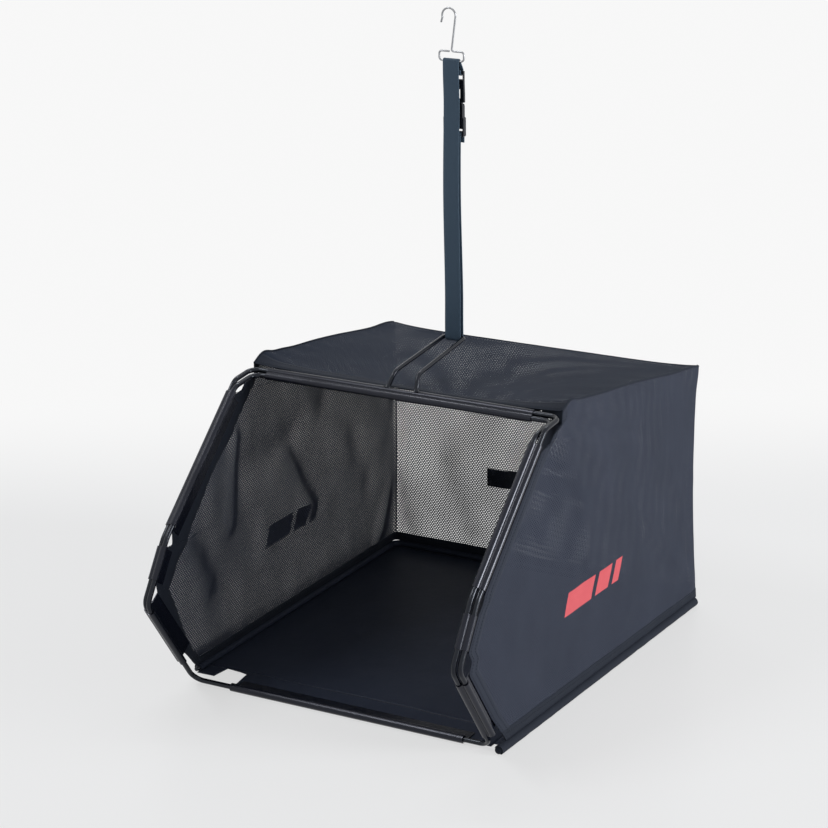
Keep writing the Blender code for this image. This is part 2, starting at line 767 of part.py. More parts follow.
def grab_handle():
    columns = 2 * math.ceil(HANDLE_LENGTH / 2 / 0.010)
    panel_half = side_half_width(0.4, 1.0)
    grid = []
    for level in (-0.5, 0.5):
        height = HANDLE_HEIGHT + level * HANDLE_WIDTH
        rise = (height - PANEL_BOTTOM) / (REAR_TOP - PANEL_BOTTOM)
        row = []
        for column in range(columns + 1):
            x = HANDLE_LENGTH * (column / columns - 0.5)
            free_half = HANDLE_LENGTH / 2 - HANDLE_SEWN_END
            bow = HANDLE_STAND_OFF * (1 - smooth(0.35 * free_half, free_half, abs(x)))
            depth = back_surface(x / panel_half, rise) + SEAM_GAP + HANDLE_THICKNESS / 2
            row.append(Vector((x, depth + bow, height)))
        grid.append(row)
    fabric_panel("rear_grab_handle", grid, Vector((0.0, 1.0, 0.0)), webbing("rear_grab_handle"))


def ribbon(name, path, width, thickness, material):
    """A flat band that follows a path in the side view."""
    points = []
    for index, place in enumerate(path):
        before = path[max(0, index - 1)]
        after = path[min(len(path) - 1, index + 1)]
        run = (after - before).normalized()
        normal = Vector((-run.y, run.x)) * thickness / 2
        for edge in (place + normal, place - normal):
            for x in (-width / 2, width / 2):
                points.append(side_point(x, edge))
    faces = [(0, 1, 3, 2)]
    for station in range(len(path) - 1):
        base = 4 * station
        for first, second in ((0, 1), (1, 3), (3, 2), (2, 0)):
            faces.append((base + first, base + second, base + second + 4, base + first + 4))
    last = 4 * (len(path) - 1)
    faces.append((last, last + 2, last + 3, last + 1))
    return mesh_object(name, points, faces, material)


def buckle_places():
    """Depth of the buckle and the heights of its top bar, its shoulder and its bottom bar."""
    depth = BAIL_END.x + BUCKLE_BEHIND
    top_bar = RING_BAR_LEVEL - BUCKLE_DROP - BUCKLE_BAR / 2
    shoulder = top_bar + BUCKLE_BAR / 2 - PLUG_HEAD_LENGTH
    socket_top = shoulder - BUCKLE_SHOULDER_GAP
    bottom_bar = socket_top - SOCKET_LENGTH + BUCKLE_BAR / 2
    return depth, top_bar, shoulder, socket_top, bottom_bar


def turn_round(centre, radius, start, end):
    return arc_points(centre, radius, math.radians(start), math.radians(end))


def strap():
    """One band from the buckle's top bar over the ring, down to the bail and up to the bottom bar."""
    depth, top_bar, _, _, bottom_bar = buckle_places()
    half = STRAP_THICKNESS / 2
    plug_turn = math.hypot(PLUG_THICKNESS, BUCKLE_BAR) / 2 + STRAP_FIT + half
    socket_turn = math.hypot(BUCKLE_THICKNESS, BUCKLE_BAR) / 2 + STRAP_FIT + half
    ring_turn = HOOK_WIRE / 2 + STRAP_FIT + half
    bail_turn = BAIL_DIAMETER / 2 + STRAP_FIT + half
    ring = Vector((BAIL_END.x, RING_BAR_LEVEL))
    bail = BAIL_END
    plug_bar = Vector((depth, top_bar))
    socket_bar = Vector((depth, bottom_bar))
    path = [plug_bar + Vector((-plug_turn, STRAP_TAIL / 3))]
    path += turn_round(plug_bar, plug_turn, -180, 0)
    path += [plug_bar + Vector((plug_turn, STRAP_TAIL / 3))]
    path += turn_round(ring, ring_turn, 25, 180)
    path += turn_round(bail, bail_turn, 180, 360)
    path += [socket_bar + Vector((-socket_turn, -STRAP_TAIL))]
    path += turn_round(socket_bar, socket_turn, 180, 0)
    path += [socket_bar + Vector((socket_turn, -STRAP_TAIL))]
    ribbon("strap", path, STRAP_WIDTH, STRAP_THICKNESS, webbing("strap"))


def plate(name, outline, depth, thickness, material):
    """A flat plate in the XZ plane with a given outline."""
    return extrude_section(
        name,
        outline,
        Vector((0.0, depth - thickness / 2, 0.0)),
        Vector((0.0, depth + thickness / 2, 0.0)),
        Vector((1.0, 0.0, 0.0)),
        Vector((0.0, 0.0, 1.0)),
        material,
    )


def slot_cut(item, name, half_width, low, high, depth, thickness, centre=0.0):
    points = box_points(
        (centre - half_width, depth - thickness, low),
        (centre + half_width, depth + thickness, high),
    )
    combine(item, cutter(name, points, box_faces()), "DIFFERENCE")


def buckle_plug():
    """Upper half of the buckle: a bar for the strap, a tapered head and three prongs."""
    depth, top_bar, shoulder, _, _ = buckle_places()
    top = top_bar + BUCKLE_BAR / 2
    cavity_half = SOCKET_MOUTH_WIDTH / 2 - SOCKET_WALL
    arm = 0.004
    guide = 0.003
    tip = shoulder - PRONG_LENGTH
    outer_arm = cavity_half - STRAP_FIT
    right = [
        (PLUG_WAIST_WIDTH / 2, top),
        (PLUG_WAIST_WIDTH / 2, top - 0.35 * PLUG_HEAD_LENGTH),
        (BUCKLE_WIDTH / 2, shoulder + 0.25 * PLUG_HEAD_LENGTH),
        (BUCKLE_WIDTH / 2, shoulder),
        (outer_arm, shoulder),
        (outer_arm, tip + arm),
        (outer_arm - 0.5 * arm, tip),
        (outer_arm - arm, tip + 0.5 * arm),
        (outer_arm - arm, shoulder),
        (guide, shoulder),
        (guide, tip),
    ]
    outline = [Vector(point) for point in right]
    outline += [Vector((-x, z)) for x, z in reversed(right)]
    plug = plate("buckle_plug", outline[::-1], depth, PLUG_THICKNESS, dark_plastic("buckle_plug"))
    bar_low = top_bar - BUCKLE_BAR / 2
    half = STRAP_WIDTH / 2 + 2 * STRAP_FIT
    slot_cut(plug, "plug_slot", half, bar_low - BUCKLE_SLOT, bar_low, depth, BUCKLE_THICKNESS)
    window_low = shoulder + 0.12 * PLUG_HEAD_LENGTH
    window_high = shoulder + 0.42 * PLUG_HEAD_LENGTH
    for side, label in ((-1, "left"), (1, "right")):
        centre = side * (guide + outer_arm) / 2
        reach = (outer_arm - guide) / 2 - 0.5 * arm
        slot_cut(
            plug, "plug_window_" + label, reach, window_low, window_high, depth, BUCKLE_THICKNESS, centre
        )


def buckle_socket():
    """Lower half of the buckle: a hollow mouth for the prongs and a ladder for the strap."""
    depth, _, _, socket_top, bottom_bar = buckle_places()
    bottom = bottom_bar - BUCKLE_BAR / 2
    step = socket_top - SOCKET_MOUTH_LENGTH
    right = [
        (SOCKET_MOUTH_WIDTH / 2 - SOCKET_WALL / 2, socket_top),
        (SOCKET_MOUTH_WIDTH / 2, socket_top - 2 * SOCKET_WALL),
        (SOCKET_MOUTH_WIDTH / 2, step),
        (BUCKLE_WIDTH / 2, step - SOCKET_WALL),
        (BUCKLE_WIDTH / 2, bottom + SOCKET_WALL),
        (BUCKLE_WIDTH / 2 - SOCKET_WALL, bottom),
    ]
    outline = [Vector(point) for point in right]
    outline += [Vector((-x, z)) for x, z in reversed(right)]
    material = dark_plastic("buckle_socket")
    socket = plate("buckle_socket", outline[::-1], depth, BUCKLE_THICKNESS, material)
    cavity_half = SOCKET_MOUTH_WIDTH / 2 - SOCKET_WALL
    cavity_depth = PRONG_LENGTH - BUCKLE_SHOULDER_GAP + BUCKLE_SHOULDER_GAP / 2
    cavity_thick = PLUG_THICKNESS / 2 + 2 * STRAP_FIT
    low = (-cavity_half, depth - cavity_thick, socket_top - cavity_depth)
    high = (cavity_half, depth + cavity_thick, socket_top + SOCKET_WALL)
    combine(socket, cutter("socket_cavity", box_points(low, high), box_faces()), "DIFFERENCE")
    half = STRAP_WIDTH / 2 + 2 * STRAP_FIT
    bar_top = bottom_bar + BUCKLE_BAR / 2
    slot_cut(socket, "socket_slot", half, bar_top, bar_top + BUCKLE_SLOT, depth, BUCKLE_THICKNESS)


def hook():
    """One bent wire: a flat ring for the strap, a leaning shank and an open hook."""
    half = RING_WIDTH / 2 - HOOK_WIRE / 2
    rise = RING_HEIGHT - HOOK_WIRE
    start = HOOK_WIRE + SEAM_GAP
    centre = Vector((SHANK_LEAN - HOOK_RADIUS, 0.0, rise + SHANK_LENGTH))
    corners = [
        Vector((-start, 0.0, rise)),
        Vector((-half, 0.0, rise)),
        Vector((-half, 0.0, 0.0)),
        Vector((half, 0.0, 0.0)),
        Vector((half, 0.0, rise)),
        Vector((0.0, 0.0, rise)),
        Vector((SHANK_LEAN, 0.0, rise + SHANK_LENGTH)),
    ]
    bend = RING_CORNER_RADIUS
    path = rounded_path(corners, [0.0, bend, bend, bend, bend, HOOK_WIRE, 0.0])
    for angle in range(15, 200, 15):
        turn = math.radians(angle)
        path.append(centre + Vector((math.cos(turn), 0.0, math.sin(turn))) * HOOK_RADIUS)
    path.append(path[-1] + Vector((-0.3 * HOOK_TIP, 0.0, -HOOK_TIP)))
    item = rod("hook", path, HOOK_WIRE, finish("hook_zinc", (0.62, 0.63, 0.65), 0.25, 1.0), resolution=2)
    item.location = (0.0, BAIL_END.x, RING_BAR_LEVEL)


def stand_on_origin():
    """Move the whole part so that the middle of its base is at the origin."""
    bpy.context.view_layer.update()
    graph = bpy.context.evaluated_depsgraph_get()
    corners = []
    parts = [item for item in bpy.data.objects if not item.hide_render]
    for item in parts:
        shape = item.evaluated_get(graph)
        mesh = shape.to_mesh()
        corners += [shape.matrix_world @ corner.co for corner in mesh.vertices]
        shape.to_mesh_clear()
    middle = [(min(c[axis] for c in corners) + max(c[axis] for c in corners)) / 2 for axis in (0, 1)]
    base = min(corner.z for corner in corners)
    shift = Vector((-middle[0], -middle[1], -base))
    for item in bpy.data.objects:
        item.location += shift


def build():
    clear_scene()
    front_frame()
    bag_hoop()
    side_clips()
    top_clip()
    bottom_clip()
    lifting_bail()
    side_panels()
    top_panel()
    back_panel()
    floor_panel()
    floor_rod()
    grab_handle()
    strap()
    buckle_plug()
    buckle_socket()
    hook()
    stand_on_origin()


build()
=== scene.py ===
import math

import bmesh
import bpy
from mathutils import Matrix, Vector, noise
from mathutils.bvhtree import BVHTree


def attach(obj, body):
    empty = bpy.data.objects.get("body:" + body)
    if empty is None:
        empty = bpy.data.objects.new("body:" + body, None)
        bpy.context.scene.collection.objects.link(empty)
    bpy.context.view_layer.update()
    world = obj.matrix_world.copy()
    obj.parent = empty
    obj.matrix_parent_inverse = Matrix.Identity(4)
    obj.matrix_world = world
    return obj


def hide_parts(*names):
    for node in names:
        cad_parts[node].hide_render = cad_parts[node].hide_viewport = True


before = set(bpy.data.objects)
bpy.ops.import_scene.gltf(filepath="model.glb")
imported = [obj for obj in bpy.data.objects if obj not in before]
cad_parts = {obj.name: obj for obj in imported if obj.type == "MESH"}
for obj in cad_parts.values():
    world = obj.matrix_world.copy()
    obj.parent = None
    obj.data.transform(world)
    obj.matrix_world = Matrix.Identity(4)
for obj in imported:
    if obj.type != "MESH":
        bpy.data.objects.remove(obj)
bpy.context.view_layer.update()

# Places repeated from the CAD source. Points are worked out with y at 0 on the bottom rod,
# and every mesh is moved by MOUTH_SHIFT into the row frame.
MOUTH_SHIFT = -0.216906
ROD_RADIUS = 0.003
FLOOR_ROD_RADIUS = 0.0025
BAIL_RADIUS = 0.0025
HOOK_WIRE = 0.0022
HALF_MOUTH = 0.196
HOOP_BEHIND = 0.003
HOOP_OUTSIDE = 0.0064
HOOP_TAIL = 0.045
PROFILE = [
    Vector((0.0, 0.005)),
    Vector((-0.085, 0.125)),
    Vector((-0.0414, 0.193)),
    Vector((0.107, 0.331)),
    Vector((0.148, 0.335)),
]
HOOP_TOP = Vector((0.1535, 0.3392))
TOP_EDGE_FRONT = 0.1583
BAG_DEPTH = 0.502
REAR_TOP = 0.303
PANEL_BOTTOM = 0.0087
SLEEVE_LEVEL = 0.0046
SLEEVE_RADIUS = 0.0045
SLEEVE_FRONTS = (0.030, -0.0065)
SLEEVE_HALVES = (0.2095, 0.217)
SIDE_FRONT_HALF = 0.2029
CLOTH = 0.0012
BAIL_END = Vector((0.278, 0.3725))
RING_BAR = 0.699
STRAP_WIDTH = 0.0204
STRAP_THICKNESS = 0.0015
CLIP_SPANS = {
    -1: [(0, 0.0345, 0.1015), (1, 0.031, 0.039), (2, 0.016, 0.180)],
    1: [(0, 0.021, 0.1015), (1, 0.024, 0.039), (2, 0.012, 0.180)],
}
HEM_CORNERS = {-1: 0.026, 1: 0.010}
CORNER_RADIUS = 0.006
CORNER_LIFTS = ((0.178, 0.0080, 0.018), (0.208, 0.0035, 0.03), (0.49, 0.0045, 0.04))
SLEEVE_RUN = 0.508
TOP_DEPTH = BAG_DEPTH - TOP_EDGE_FRONT
BACK_HEIGHT = REAR_TOP - PANEL_BOTTOM
# Half thicknesses of the doubled hems, the lowest hems and the single turned-in strips.
HEM_HALF = 0.00075
LOW_HEM_HALF = 0.0009
STRIP_HALF = 0.0004
FRONT_HEM_PARTS = (-0.014, 0.04, 0.2, 0.4, 0.6, 0.8, 0.96, 1.0)
LOW_HEM_LEVELS = (0.0, 0.0008, 0.004, 0.008, 0.0108, 0.0114)
STITCH_OUT = 0.00085
LOW_STITCH_OUT = 0.0010
LOW_STITCH_LEVEL = 0.0075
SEAM_GAP = 0.0003
HANDLE_LEVEL = 0.116
HANDLE_LENGTH = 0.160
HANDLE_WIDTH = 0.024
HANDLE_HALF = 0.00075
UP = Vector((0.0, 0.0, 1.0))
REARWARD = Vector((0.0, 1.0, 0.0))


def mix(first, second, share):
    return first + (second - first) * share


def shares(count):
    """Even shares from 0 to 1."""
    return [step / count for step in range(count + 1)]


def smooth(low, high, value):
    share = min(1.0, max(0.0, (value - low) / (high - low)))
    return share * share * (3 - 2 * share)


def bell(distance, width):
    return math.exp(-((distance / width) ** 2))


# Lines and paths
def rise_normal(start, end):
    run = (end - start).normalized()
    return Vector((run.y, -run.x))


def meet(point, direction, other, other_direction):
    cross = direction.x * other_direction.y - direction.y * other_direction.x
    gap = other - point
    share = (gap.x * other_direction.y - gap.y * other_direction.x) / cross
    return point + direction * share


def offset_corner(index, distance):
    before, corner, after = PROFILE[index - 1], PROFILE[index], PROFILE[index + 1]
    first = before + rise_normal(before, corner) * distance
    second = corner + rise_normal(corner, after) * distance
    return meet(first, corner - before, second, after - corner)


def along_side(segment, distance, offset):
    start, end = PROFILE[segment], PROFILE[segment + 1]
    return start + (end - start).normalized() * distance + rise_normal(start, end) * offset


def hoop_profile():
    leg = PROFILE[4] - PROFILE[3]
    upper_run = along_side(2, 0.0, HOOP_BEHIND)
    shoulder = meet(upper_run, PROFILE[3] - PROFILE[2], HOOP_TOP, leg)
    lower_length = (PROFILE[1] - PROFILE[0]).length
    return [
        along_side(0, lower_length - HOOP_TAIL, HOOP_BEHIND),
        offset_corner(1, HOOP_BEHIND),
        offset_corner(2, HOOP_BEHIND),
        shoulder,
        HOOP_TOP,
    ]


def side_point(x, point):
    return Vector((x, point.x, point.y))


def rounded_path(points, radii, closed=False, step_angle=6.0):
    """Points of a polyline whose corners are replaced by fine arcs."""
    count = len(points)
    path = []
    for index, corner in enumerate(points):
        radius = radii[index]
        if radius == 0 or (not closed and index in (0, count - 1)):
            path.append(corner.copy())
            continue
        toward = (points[index - 1] - corner).normalized()
        away = (points[(index + 1) % count] - corner).normalized()
        half = toward.angle(away) / 2
        turn = math.pi - 2 * half
        centre = corner + (toward + away).normalized() * (radius / math.sin(half))
        start = corner + toward * (radius / math.tan(half)) - centre
        end = corner + away * (radius / math.tan(half)) - centre
        steps = max(3, math.ceil(turn / math.radians(step_angle)))
        for step in range(steps + 1):
            share = step / steps
            first = math.sin((1 - share) * turn) / math.sin(turn)
            second = math.sin(share * turn) / math.sin(turn)
            path.append(centre + start * first + end * second)
    return path


def spaced(path, step, closed=False):
    """The same path with points at most a step apart."""
    ends = path + [path[0]] if closed else path
    dense = [ends[0].copy()]
    for start, end in zip(ends, ends[1:]):
        pieces = max(1, math.ceil((end - start).length / step))
        dense += [mix(start, end, piece / pieces) for piece in range(1, pieces + 1)]
    if closed:
        dense.pop()
    return dense


def lengths_along(path):
    """The way gone at each point of a path."""
    lengths = [0.0]
    for start, end in zip(path, path[1:]):
        lengths.append(lengths[-1] + (end - start).length)
    return lengths


def stretch_at(lengths, wanted, index=0):
    """The stretch of a path that a length falls in, and its share of that stretch."""
    while index < len(lengths) - 2 and lengths[index + 1] < wanted:
        index += 1
    span = max(1e-9, lengths[index + 1] - lengths[index])
    return index, (wanted - lengths[index]) / span


def evenly(path, step):
    """Points spread evenly along a path, with the run at each."""
    lengths = lengths_along(path)
    count = max(2, round(lengths[-1] / step) + 1)
    places = []
    index = 0
    for number in range(count):
        index, share = stretch_at(lengths, lengths[-1] * number / (count - 1), index)
        run = (path[index + 1] - path[index]).normalized()
        places.append((mix(path[index], path[index + 1], share), run))
    return places


# Mesh makers
def new_piece(name, points, faces, uvs, material, body="root", smooth_angle=50):
    """A mesh in the row frame, with one UV place in metres for each of its points."""
    mesh = bpy.data.meshes.new(name)
    mesh.from_pydata([(p.x, p.y + MOUTH_SHIFT, p.z) for p in points], [], faces)
    layer = mesh.uv_layers.new(name="cloth")
    for loop in mesh.loops:
        layer.data[loop.index].uv = uvs[loop.vertex_index]
    mesh.materials.append(material)
    mesh.shade_smooth()
    mesh.set_sharp_from_angle(angle=math.radians(smooth_angle))
    item = bpy.data.objects.new(name, mesh)
    bpy.context.scene.collection.objects.link(item)
    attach(item, body)
    return item


def outward(item):
    """Turns the faces of a closed mesh outward."""
    shape = bmesh.new()
    shape.from_mesh(item.data)
    bmesh.ops.recalc_face_normals(shape, faces=shape.faces)
    shape.to_mesh(item.data)
    shape.free()


def grid_faces(rows, columns, start=0, flip=False):
    faces = []
    for row in range(rows - 1):
        for column in range(columns - 1):
            corner = start + row * columns + column
            quad = (corner, corner + 1, corner + columns + 1, corner + columns)
            faces.append(quad[::-1] if flip else quad)
    return faces


def sheet_piece(name, rows, columns, place_at, axes, material, flip=False):
    """A sheet of mesh cloth. Its second skin closes its holes when they are seen at a slant."""
    points = [place_at(along, across) for along in shares(rows) for across in shares(columns)]
    uvs = [(point[axes[0]], point[axes[1]]) for point in points]
    faces = grid_faces(rows + 1, columns + 1, flip=flip)
    item = new_piece(name, points, faces, uvs, material, smooth_angle=80)
    skin = item.modifiers.new("double_skin", "SOLIDIFY")
    skin.thickness = 0.0006
    skin.offset = 0.0
    skin.use_rim = True
    return item, uvs


def swept(name, rings, uv_rings, material, body="root", closed=False, capped=True):
    """A closed skin through rings of points that all have the same count."""
    count = len(rings[0])
    points = [point for ring in rings for point in ring]
    uvs = [uv for ring in uv_rings for uv in ring]
    faces = []
    spans = len(rings) if closed else len(rings) - 1
    for index in range(spans):
        base = index * count
        after = ((index + 1) % len(rings)) * count
        for side in range(count):
            other = (side + 1) % count
            faces.append((base + side, base + other, after + other, after + side))
    if capped and not closed:
        faces.append(tuple(range(count - 1, -1, -1)))
        last = (len(rings) - 1) * count
        faces.append(tuple(last + side for side in range(count)))
    item = new_piece(name, points, faces, uvs, material, body=body)
    outward(item)
    return item


def frames_along(path, closed=False):
    """A pair of cross axes at every point, carried along without twist."""
    count = len(path)
    runs = []
    for index in range(count):
        before = path[index - 1] if closed or index > 0 else path[0]
        after = path[(index + 1) % count] if closed or index < count - 1 else path[-1]
        runs.append((after - before).normalized())
    helper = Vector((0.0, 0.0, 1.0)) if abs(runs[0].z) < 0.9 else Vector((1.0, 0.0, 0.0))
    side = runs[0].cross(helper).normalized()
    frames = []
    for index, run in enumerate(runs):
        if index:
            side = (side - run * side.dot(run)).normalized()
        frames.append((side, side.cross(run).normalized(), run))
    return frames


def oval(place, side, up, wide, high, count):
    """The points of a round or flattened section."""
    angles = [2 * math.pi * step / count for step in range(count)]
    return [place + side * (wide * math.cos(a)) + up * (high * math.sin(a)) for a in angles]


def oval_uvs(radius, length, count):
    return [(radius * (2 * math.pi * step / count), length) for step in range(count)]


def bar(name, path, radius, material, body="root", closed=False, sides=20):
    """A round bar with softened ends."""
    stations = [(place, axes, radius) for place, axes in zip(path, frames_along(path, closed))]
    if not closed:
        ease = radius * 0.18
        first, last = stations[0], stations[-1]
        stations[0] = (first[0] + first[1][2] * ease, first[1], radius)
        stations[-1] = (last[0] - last[1][2] * ease, last[1], radius)
        stations.insert(0, (first[0], first[1], radius - ease))
        stations.append((last[0], last[1], radius - ease))
    rings = [oval(place, side, up, size, size, sides) for place, (side, up, _), size in stations]
    lengths = lengths_along([station[0] for station in stations])
    uv_rings = [oval_uvs(radius, length, sides) for length in lengths]
    return swept(name, rings, uv_rings, material, body, closed)


def band(name, stations, half_thick, material):
    """A flat band of webbing with rounded edges.
    Each station is its place, the way across (half its width long) and the way out."""
    section = []
    for sign in (1, -1):
        for share in (1.0, 0.94, 0.5, 0.0, -0.5, -0.94, -1.0):
            lift = half_thick * 0.5 if abs(share) == 1.0 else half_thick
            section.append((sign * share, sign * lift))
    rings, uv_rings = [], []
    lengths = lengths_along([station[0] for station in stations])
    for (place, across, out), length in zip(stations, lengths):
        half = across.length
        way = across.normalized()
        rings.append([place + way * (half * share) + out * lift for share, lift in section])
        uv_rings.append([(half * share, length) for share, _ in section])
    return swept(name, rings, uv_rings, material)


def stitch_piece(name, runs, pitch=0.0038, long=0.0029):
    """Rows of single stitches. Each run is a path and the way out of its cloth."""
    wide = 0.00055
    points, faces, uvs = [], [], []
    for path, out in runs:
        sink = out * (wide * 0.4)
        for place, run in evenly(path, pitch)[:-1]:
            side = run.cross(out).normalized()
            base = len(points)
            middle = place + run * (pitch / 2)
            points.append(middle - run * (long / 2) - sink)
            for along, size in ((-0.33, 0.8), (0.0, 1.0), (0.33, 0.8)):
                centre = middle + run * (long * along)
                for a, b in ((1, 0), (0.5, 0.8), (-0.5, 0.8), (-1, 0), (0, -0.6)):
                    points.append(centre + side * (wide * a * size) + out * (wide * b * size))
            points.append(middle + run * (long / 2) - sink)
            for corner in range(5):
                other = (corner + 1) % 5
                faces.append((base, base + 1 + other, base + 1 + corner))
                for first in (base + 1, base + 6):
                    faces.append((first + corner, first + other, first + 5 + other, first + 5 + corner))
                faces.append((base + 11 + corner, base + 11 + other, base + 16))
            uvs += [(p.y, p.z) for p in points[base:]]
    return new_piece(name, points, faces, uvs, THREAD)


# Node materials
class Nodes:
    """Short calls for building the nodes of a material or of the world."""

    def __init__(self, owner):
        owner.use_nodes = True
        self.owner = owner
        self.tree = owner.node_tree
        self.shader = self.tree.nodes.get("Principled BSDF")

    def add(self, kind, **settings):
        node = self.tree.nodes.new(kind)
        for key, value in settings.items():
            setattr(node, key, value)
        return node

    def link(self, source, target):
        self.tree.links.new(source, target)

    def put(self, socket, value):
        if isinstance(value, bpy.types.NodeSocket):
            self.link(value, socket)
        else:
            socket.default_value = value

    def maths(self, operation, first, second=0.0, third=0.0, clamp=False):
        node = self.add("ShaderNodeMath", operation=operation, use_clamp=clamp)
        for socket, value in zip(node.inputs, (first, second, third)):
            self.put(socket, value)
        return node.outputs[0]

    def wave(self, place, pitch):
        return self.maths("SINE", self.maths("MULTIPLY", place, 2 * math.pi / pitch))

    def ramp(self, value, low, high, from_low, from_high):
        node = self.add("ShaderNodeMapRange", clamp=True, interpolation_type="SMOOTHSTEP")
        for socket, number in zip(node.inputs, (value, from_low, from_high, low, high)):
            self.put(socket, number)
        return node.outputs[0]

    def noise(self, vector, scale, detail=3.0, roughness=0.5):
        node = self.add("ShaderNodeTexNoise")
        self.put(node.inputs["Vector"], vector)
        node.inputs["Scale"].default_value = scale
        node.inputs["Detail"].default_value = detail
        node.inputs["Roughness"].default_value = roughness
        return node.outputs["Fac"]

    def blend(self, factor, first, second):
        node = self.add("ShaderNodeMix", data_type="RGBA")
        for index, value in ((0, factor), (6, first), (7, second)):
            self.put(node.inputs[index], (*value, 1.0) if isinstance(value, tuple) else value)
        return node.outputs[2]

    def bump(self, height, distance, strength=1.0, normal=None):
        node = self.add("ShaderNodeBump")
        node.inputs["Distance"].default_value = distance
        node.inputs["Strength"].default_value = strength
        self.put(node.inputs["Height"], height)
        if normal is not None:
            self.link(normal, node.inputs["Normal"])
        return node.outputs["Normal"]

    def place(self):
        return self.add("ShaderNodeTexCoord").outputs["Object"]

    def apart(self, vector):
        node = self.add("ShaderNodeSeparateXYZ")
        self.link(vector, node.inputs[0])
        return node.outputs["X"], node.outputs["Y"]

    def cloth_place(self):
        """The two cloth directions in metres."""
        uv = self.add("ShaderNodeUVMap", uv_map="cloth").outputs["UV"]
        return uv, *self.apart(uv)

    def seen(self):
        """1 for the rays that show the background: camera, gloss and transmission."""
        rays = self.add("ShaderNodeLightPath").outputs
        seen = self.maths("MAXIMUM", rays["Is Camera Ray"], rays["Is Glossy Ray"])
        return self.maths("MAXIMUM", seen, rays["Is Transmission Ray"])

    def join(self, share, first, second, output):
        """Mixes two shaders into the output."""
        both = self.add("ShaderNodeMixShader")
        for socket, source in zip(both.inputs, (share, first, second)):
            self.link(source, socket)
        self.link(both.outputs[0], self.tree.nodes[output].inputs["Surface"])

    def finish(self, **values):
        """Sets or links the shader's sockets, and gives the material."""
        for key, value in values.items():
            self.put(self.shader.inputs[key.replace("_", " ")], value)
        return self.owner


def painted_steel(name):
    n = Nodes(bpy.data.materials.new(name))
    where = n.place()
    cloud = n.noise(where, 18.0, 4.0)
    wear = n.ramp(n.noise(where, 60.0, 5.0, 0.7), 0.0, 1.0, 0.66, 0.78)
    paint = n.blend(cloud, (0.002, 0.003, 0.006), (0.005, 0.006, 0.010))
    return n.finish(
        Base_Color=n.blend(n.maths("MULTIPLY", wear, 0.20), paint, (0.045, 0.048, 0.056)),
        Roughness=n.ramp(cloud, 0.15, 0.21, 0.3, 0.7),
        Normal=n.bump(n.noise(where, 900.0, 2.0), 0.0001, 0.20),
        Specular_IOR_Level=0.36,
        Specular_Tint=(0.82, 0.88, 1.0, 1.0),
    )


def moulded_plastic(name, dark, light, rough_low, rough_high):
    n = Nodes(bpy.data.materials.new(name))
    where = n.place()
    cloud = n.noise(where, 26.0, 4.0)
    return n.finish(
        Base_Color=n.blend(cloud, dark, light),
        Roughness=n.ramp(cloud, rough_low, rough_high, 0.3, 0.7),
        Normal=n.bump(n.noise(where, 1400.0, 2.0), 0.00008, 0.25),
        Specular_IOR_Level=0.34,
        Specular_Tint=(0.86, 0.88, 1.0, 1.0),
    )


def mesh_cloth(name, dark, light, hole):
    """Knitted polyester mesh with staggered holes, thin enough for light to show through."""
    pitch_across, pitch_up = 0.0036, 0.0024
    n = Nodes(bpy.data.materials.new(name))
    uv, across, up = n.cloth_place()
    row = n.maths("DIVIDE", up, pitch_up)
    shift = n.maths("MULTIPLY", n.maths("FLOORED_MODULO", n.maths("FLOOR", row), 2.0), 0.5)
    column = n.maths("ADD", n.maths("DIVIDE", across, pitch_across), shift)
    squares = []
    for place, size in zip((column, row), hole):
        cell = n.maths("SUBTRACT", n.maths("FRACT", place), 0.5)
        squares.append(n.maths("POWER", n.maths("DIVIDE", cell, size), 2.0))
    opening = n.ramp(n.maths("ADD", *squares), 1.0, 0.0, 0.75, 1.25)
    cloud = n.noise(uv, 14.0, 4.0)
    # Painted shade: the 'folded' attribute closes the holes along creases and in soft streaks, so these read
    # darker.
    folded = n.add("ShaderNodeAttribute", attribute_name="folded").outputs["Fac"]
    patch = n.ramp(cloud, 0.90, 1.0, 0.3, 0.7)
    patch = n.maths("MULTIPLY", patch, n.maths("MULTIPLY_ADD", folded, -0.55, 1.0))
    thread = n.noise(uv, 650.0, 2.0)
    tone = n.maths("MULTIPLY_ADD", thread, 0.5, n.maths("MULTIPLY", cloud, 0.5))
    knit = n.bump(n.maths("SUBTRACT", 1.0, opening), 0.0003, 0.35)
    return n.finish(
        Alpha=n.maths("SUBTRACT", 1.0, n.maths("MULTIPLY", opening, patch), clamp=True),
        Base_Color=n.blend(tone, dark, light),
        Normal=n.bump(n.noise(uv, 120.0, 4.0), 0.0006, 0.25, knit),
        Roughness=0.8,
        Specular_IOR_Level=0.12,
        Sheen_Weight=0.01,
        Sheen_Roughness=0.5,
    )


def woven_cloth(name, dark, light, pitch, roughness, sheen):
    """Plain close weave."""
    n = Nodes(bpy.data.materials.new(name))
    uv, across, up = n.cloth_place()
    crossing = n.maths("MULTIPLY", n.wave(across, pitch), n.wave(up, pitch))
    weave = n.maths("MULTIPLY_ADD", crossing, 0.5, 0.5)
    cloud = n.noise(uv, 16.0, 5.0, 0.6)
    tone = n.maths("MULTIPLY_ADD", weave, 0.35, n.maths("MULTIPLY", cloud, 0.65))
    fine = n.bump(weave, 0.00012, 0.4)
    return n.finish(
        Base_Color=n.blend(tone, dark, light),
        Normal=n.bump(n.noise(uv, 90.0, 4.0), 0.0008, 0.3, fine),
        Roughness=roughness,
        Specular_IOR_Level=0.14,
        Sheen_Weight=sheen,
        Sheen_Roughness=0.4,
    )


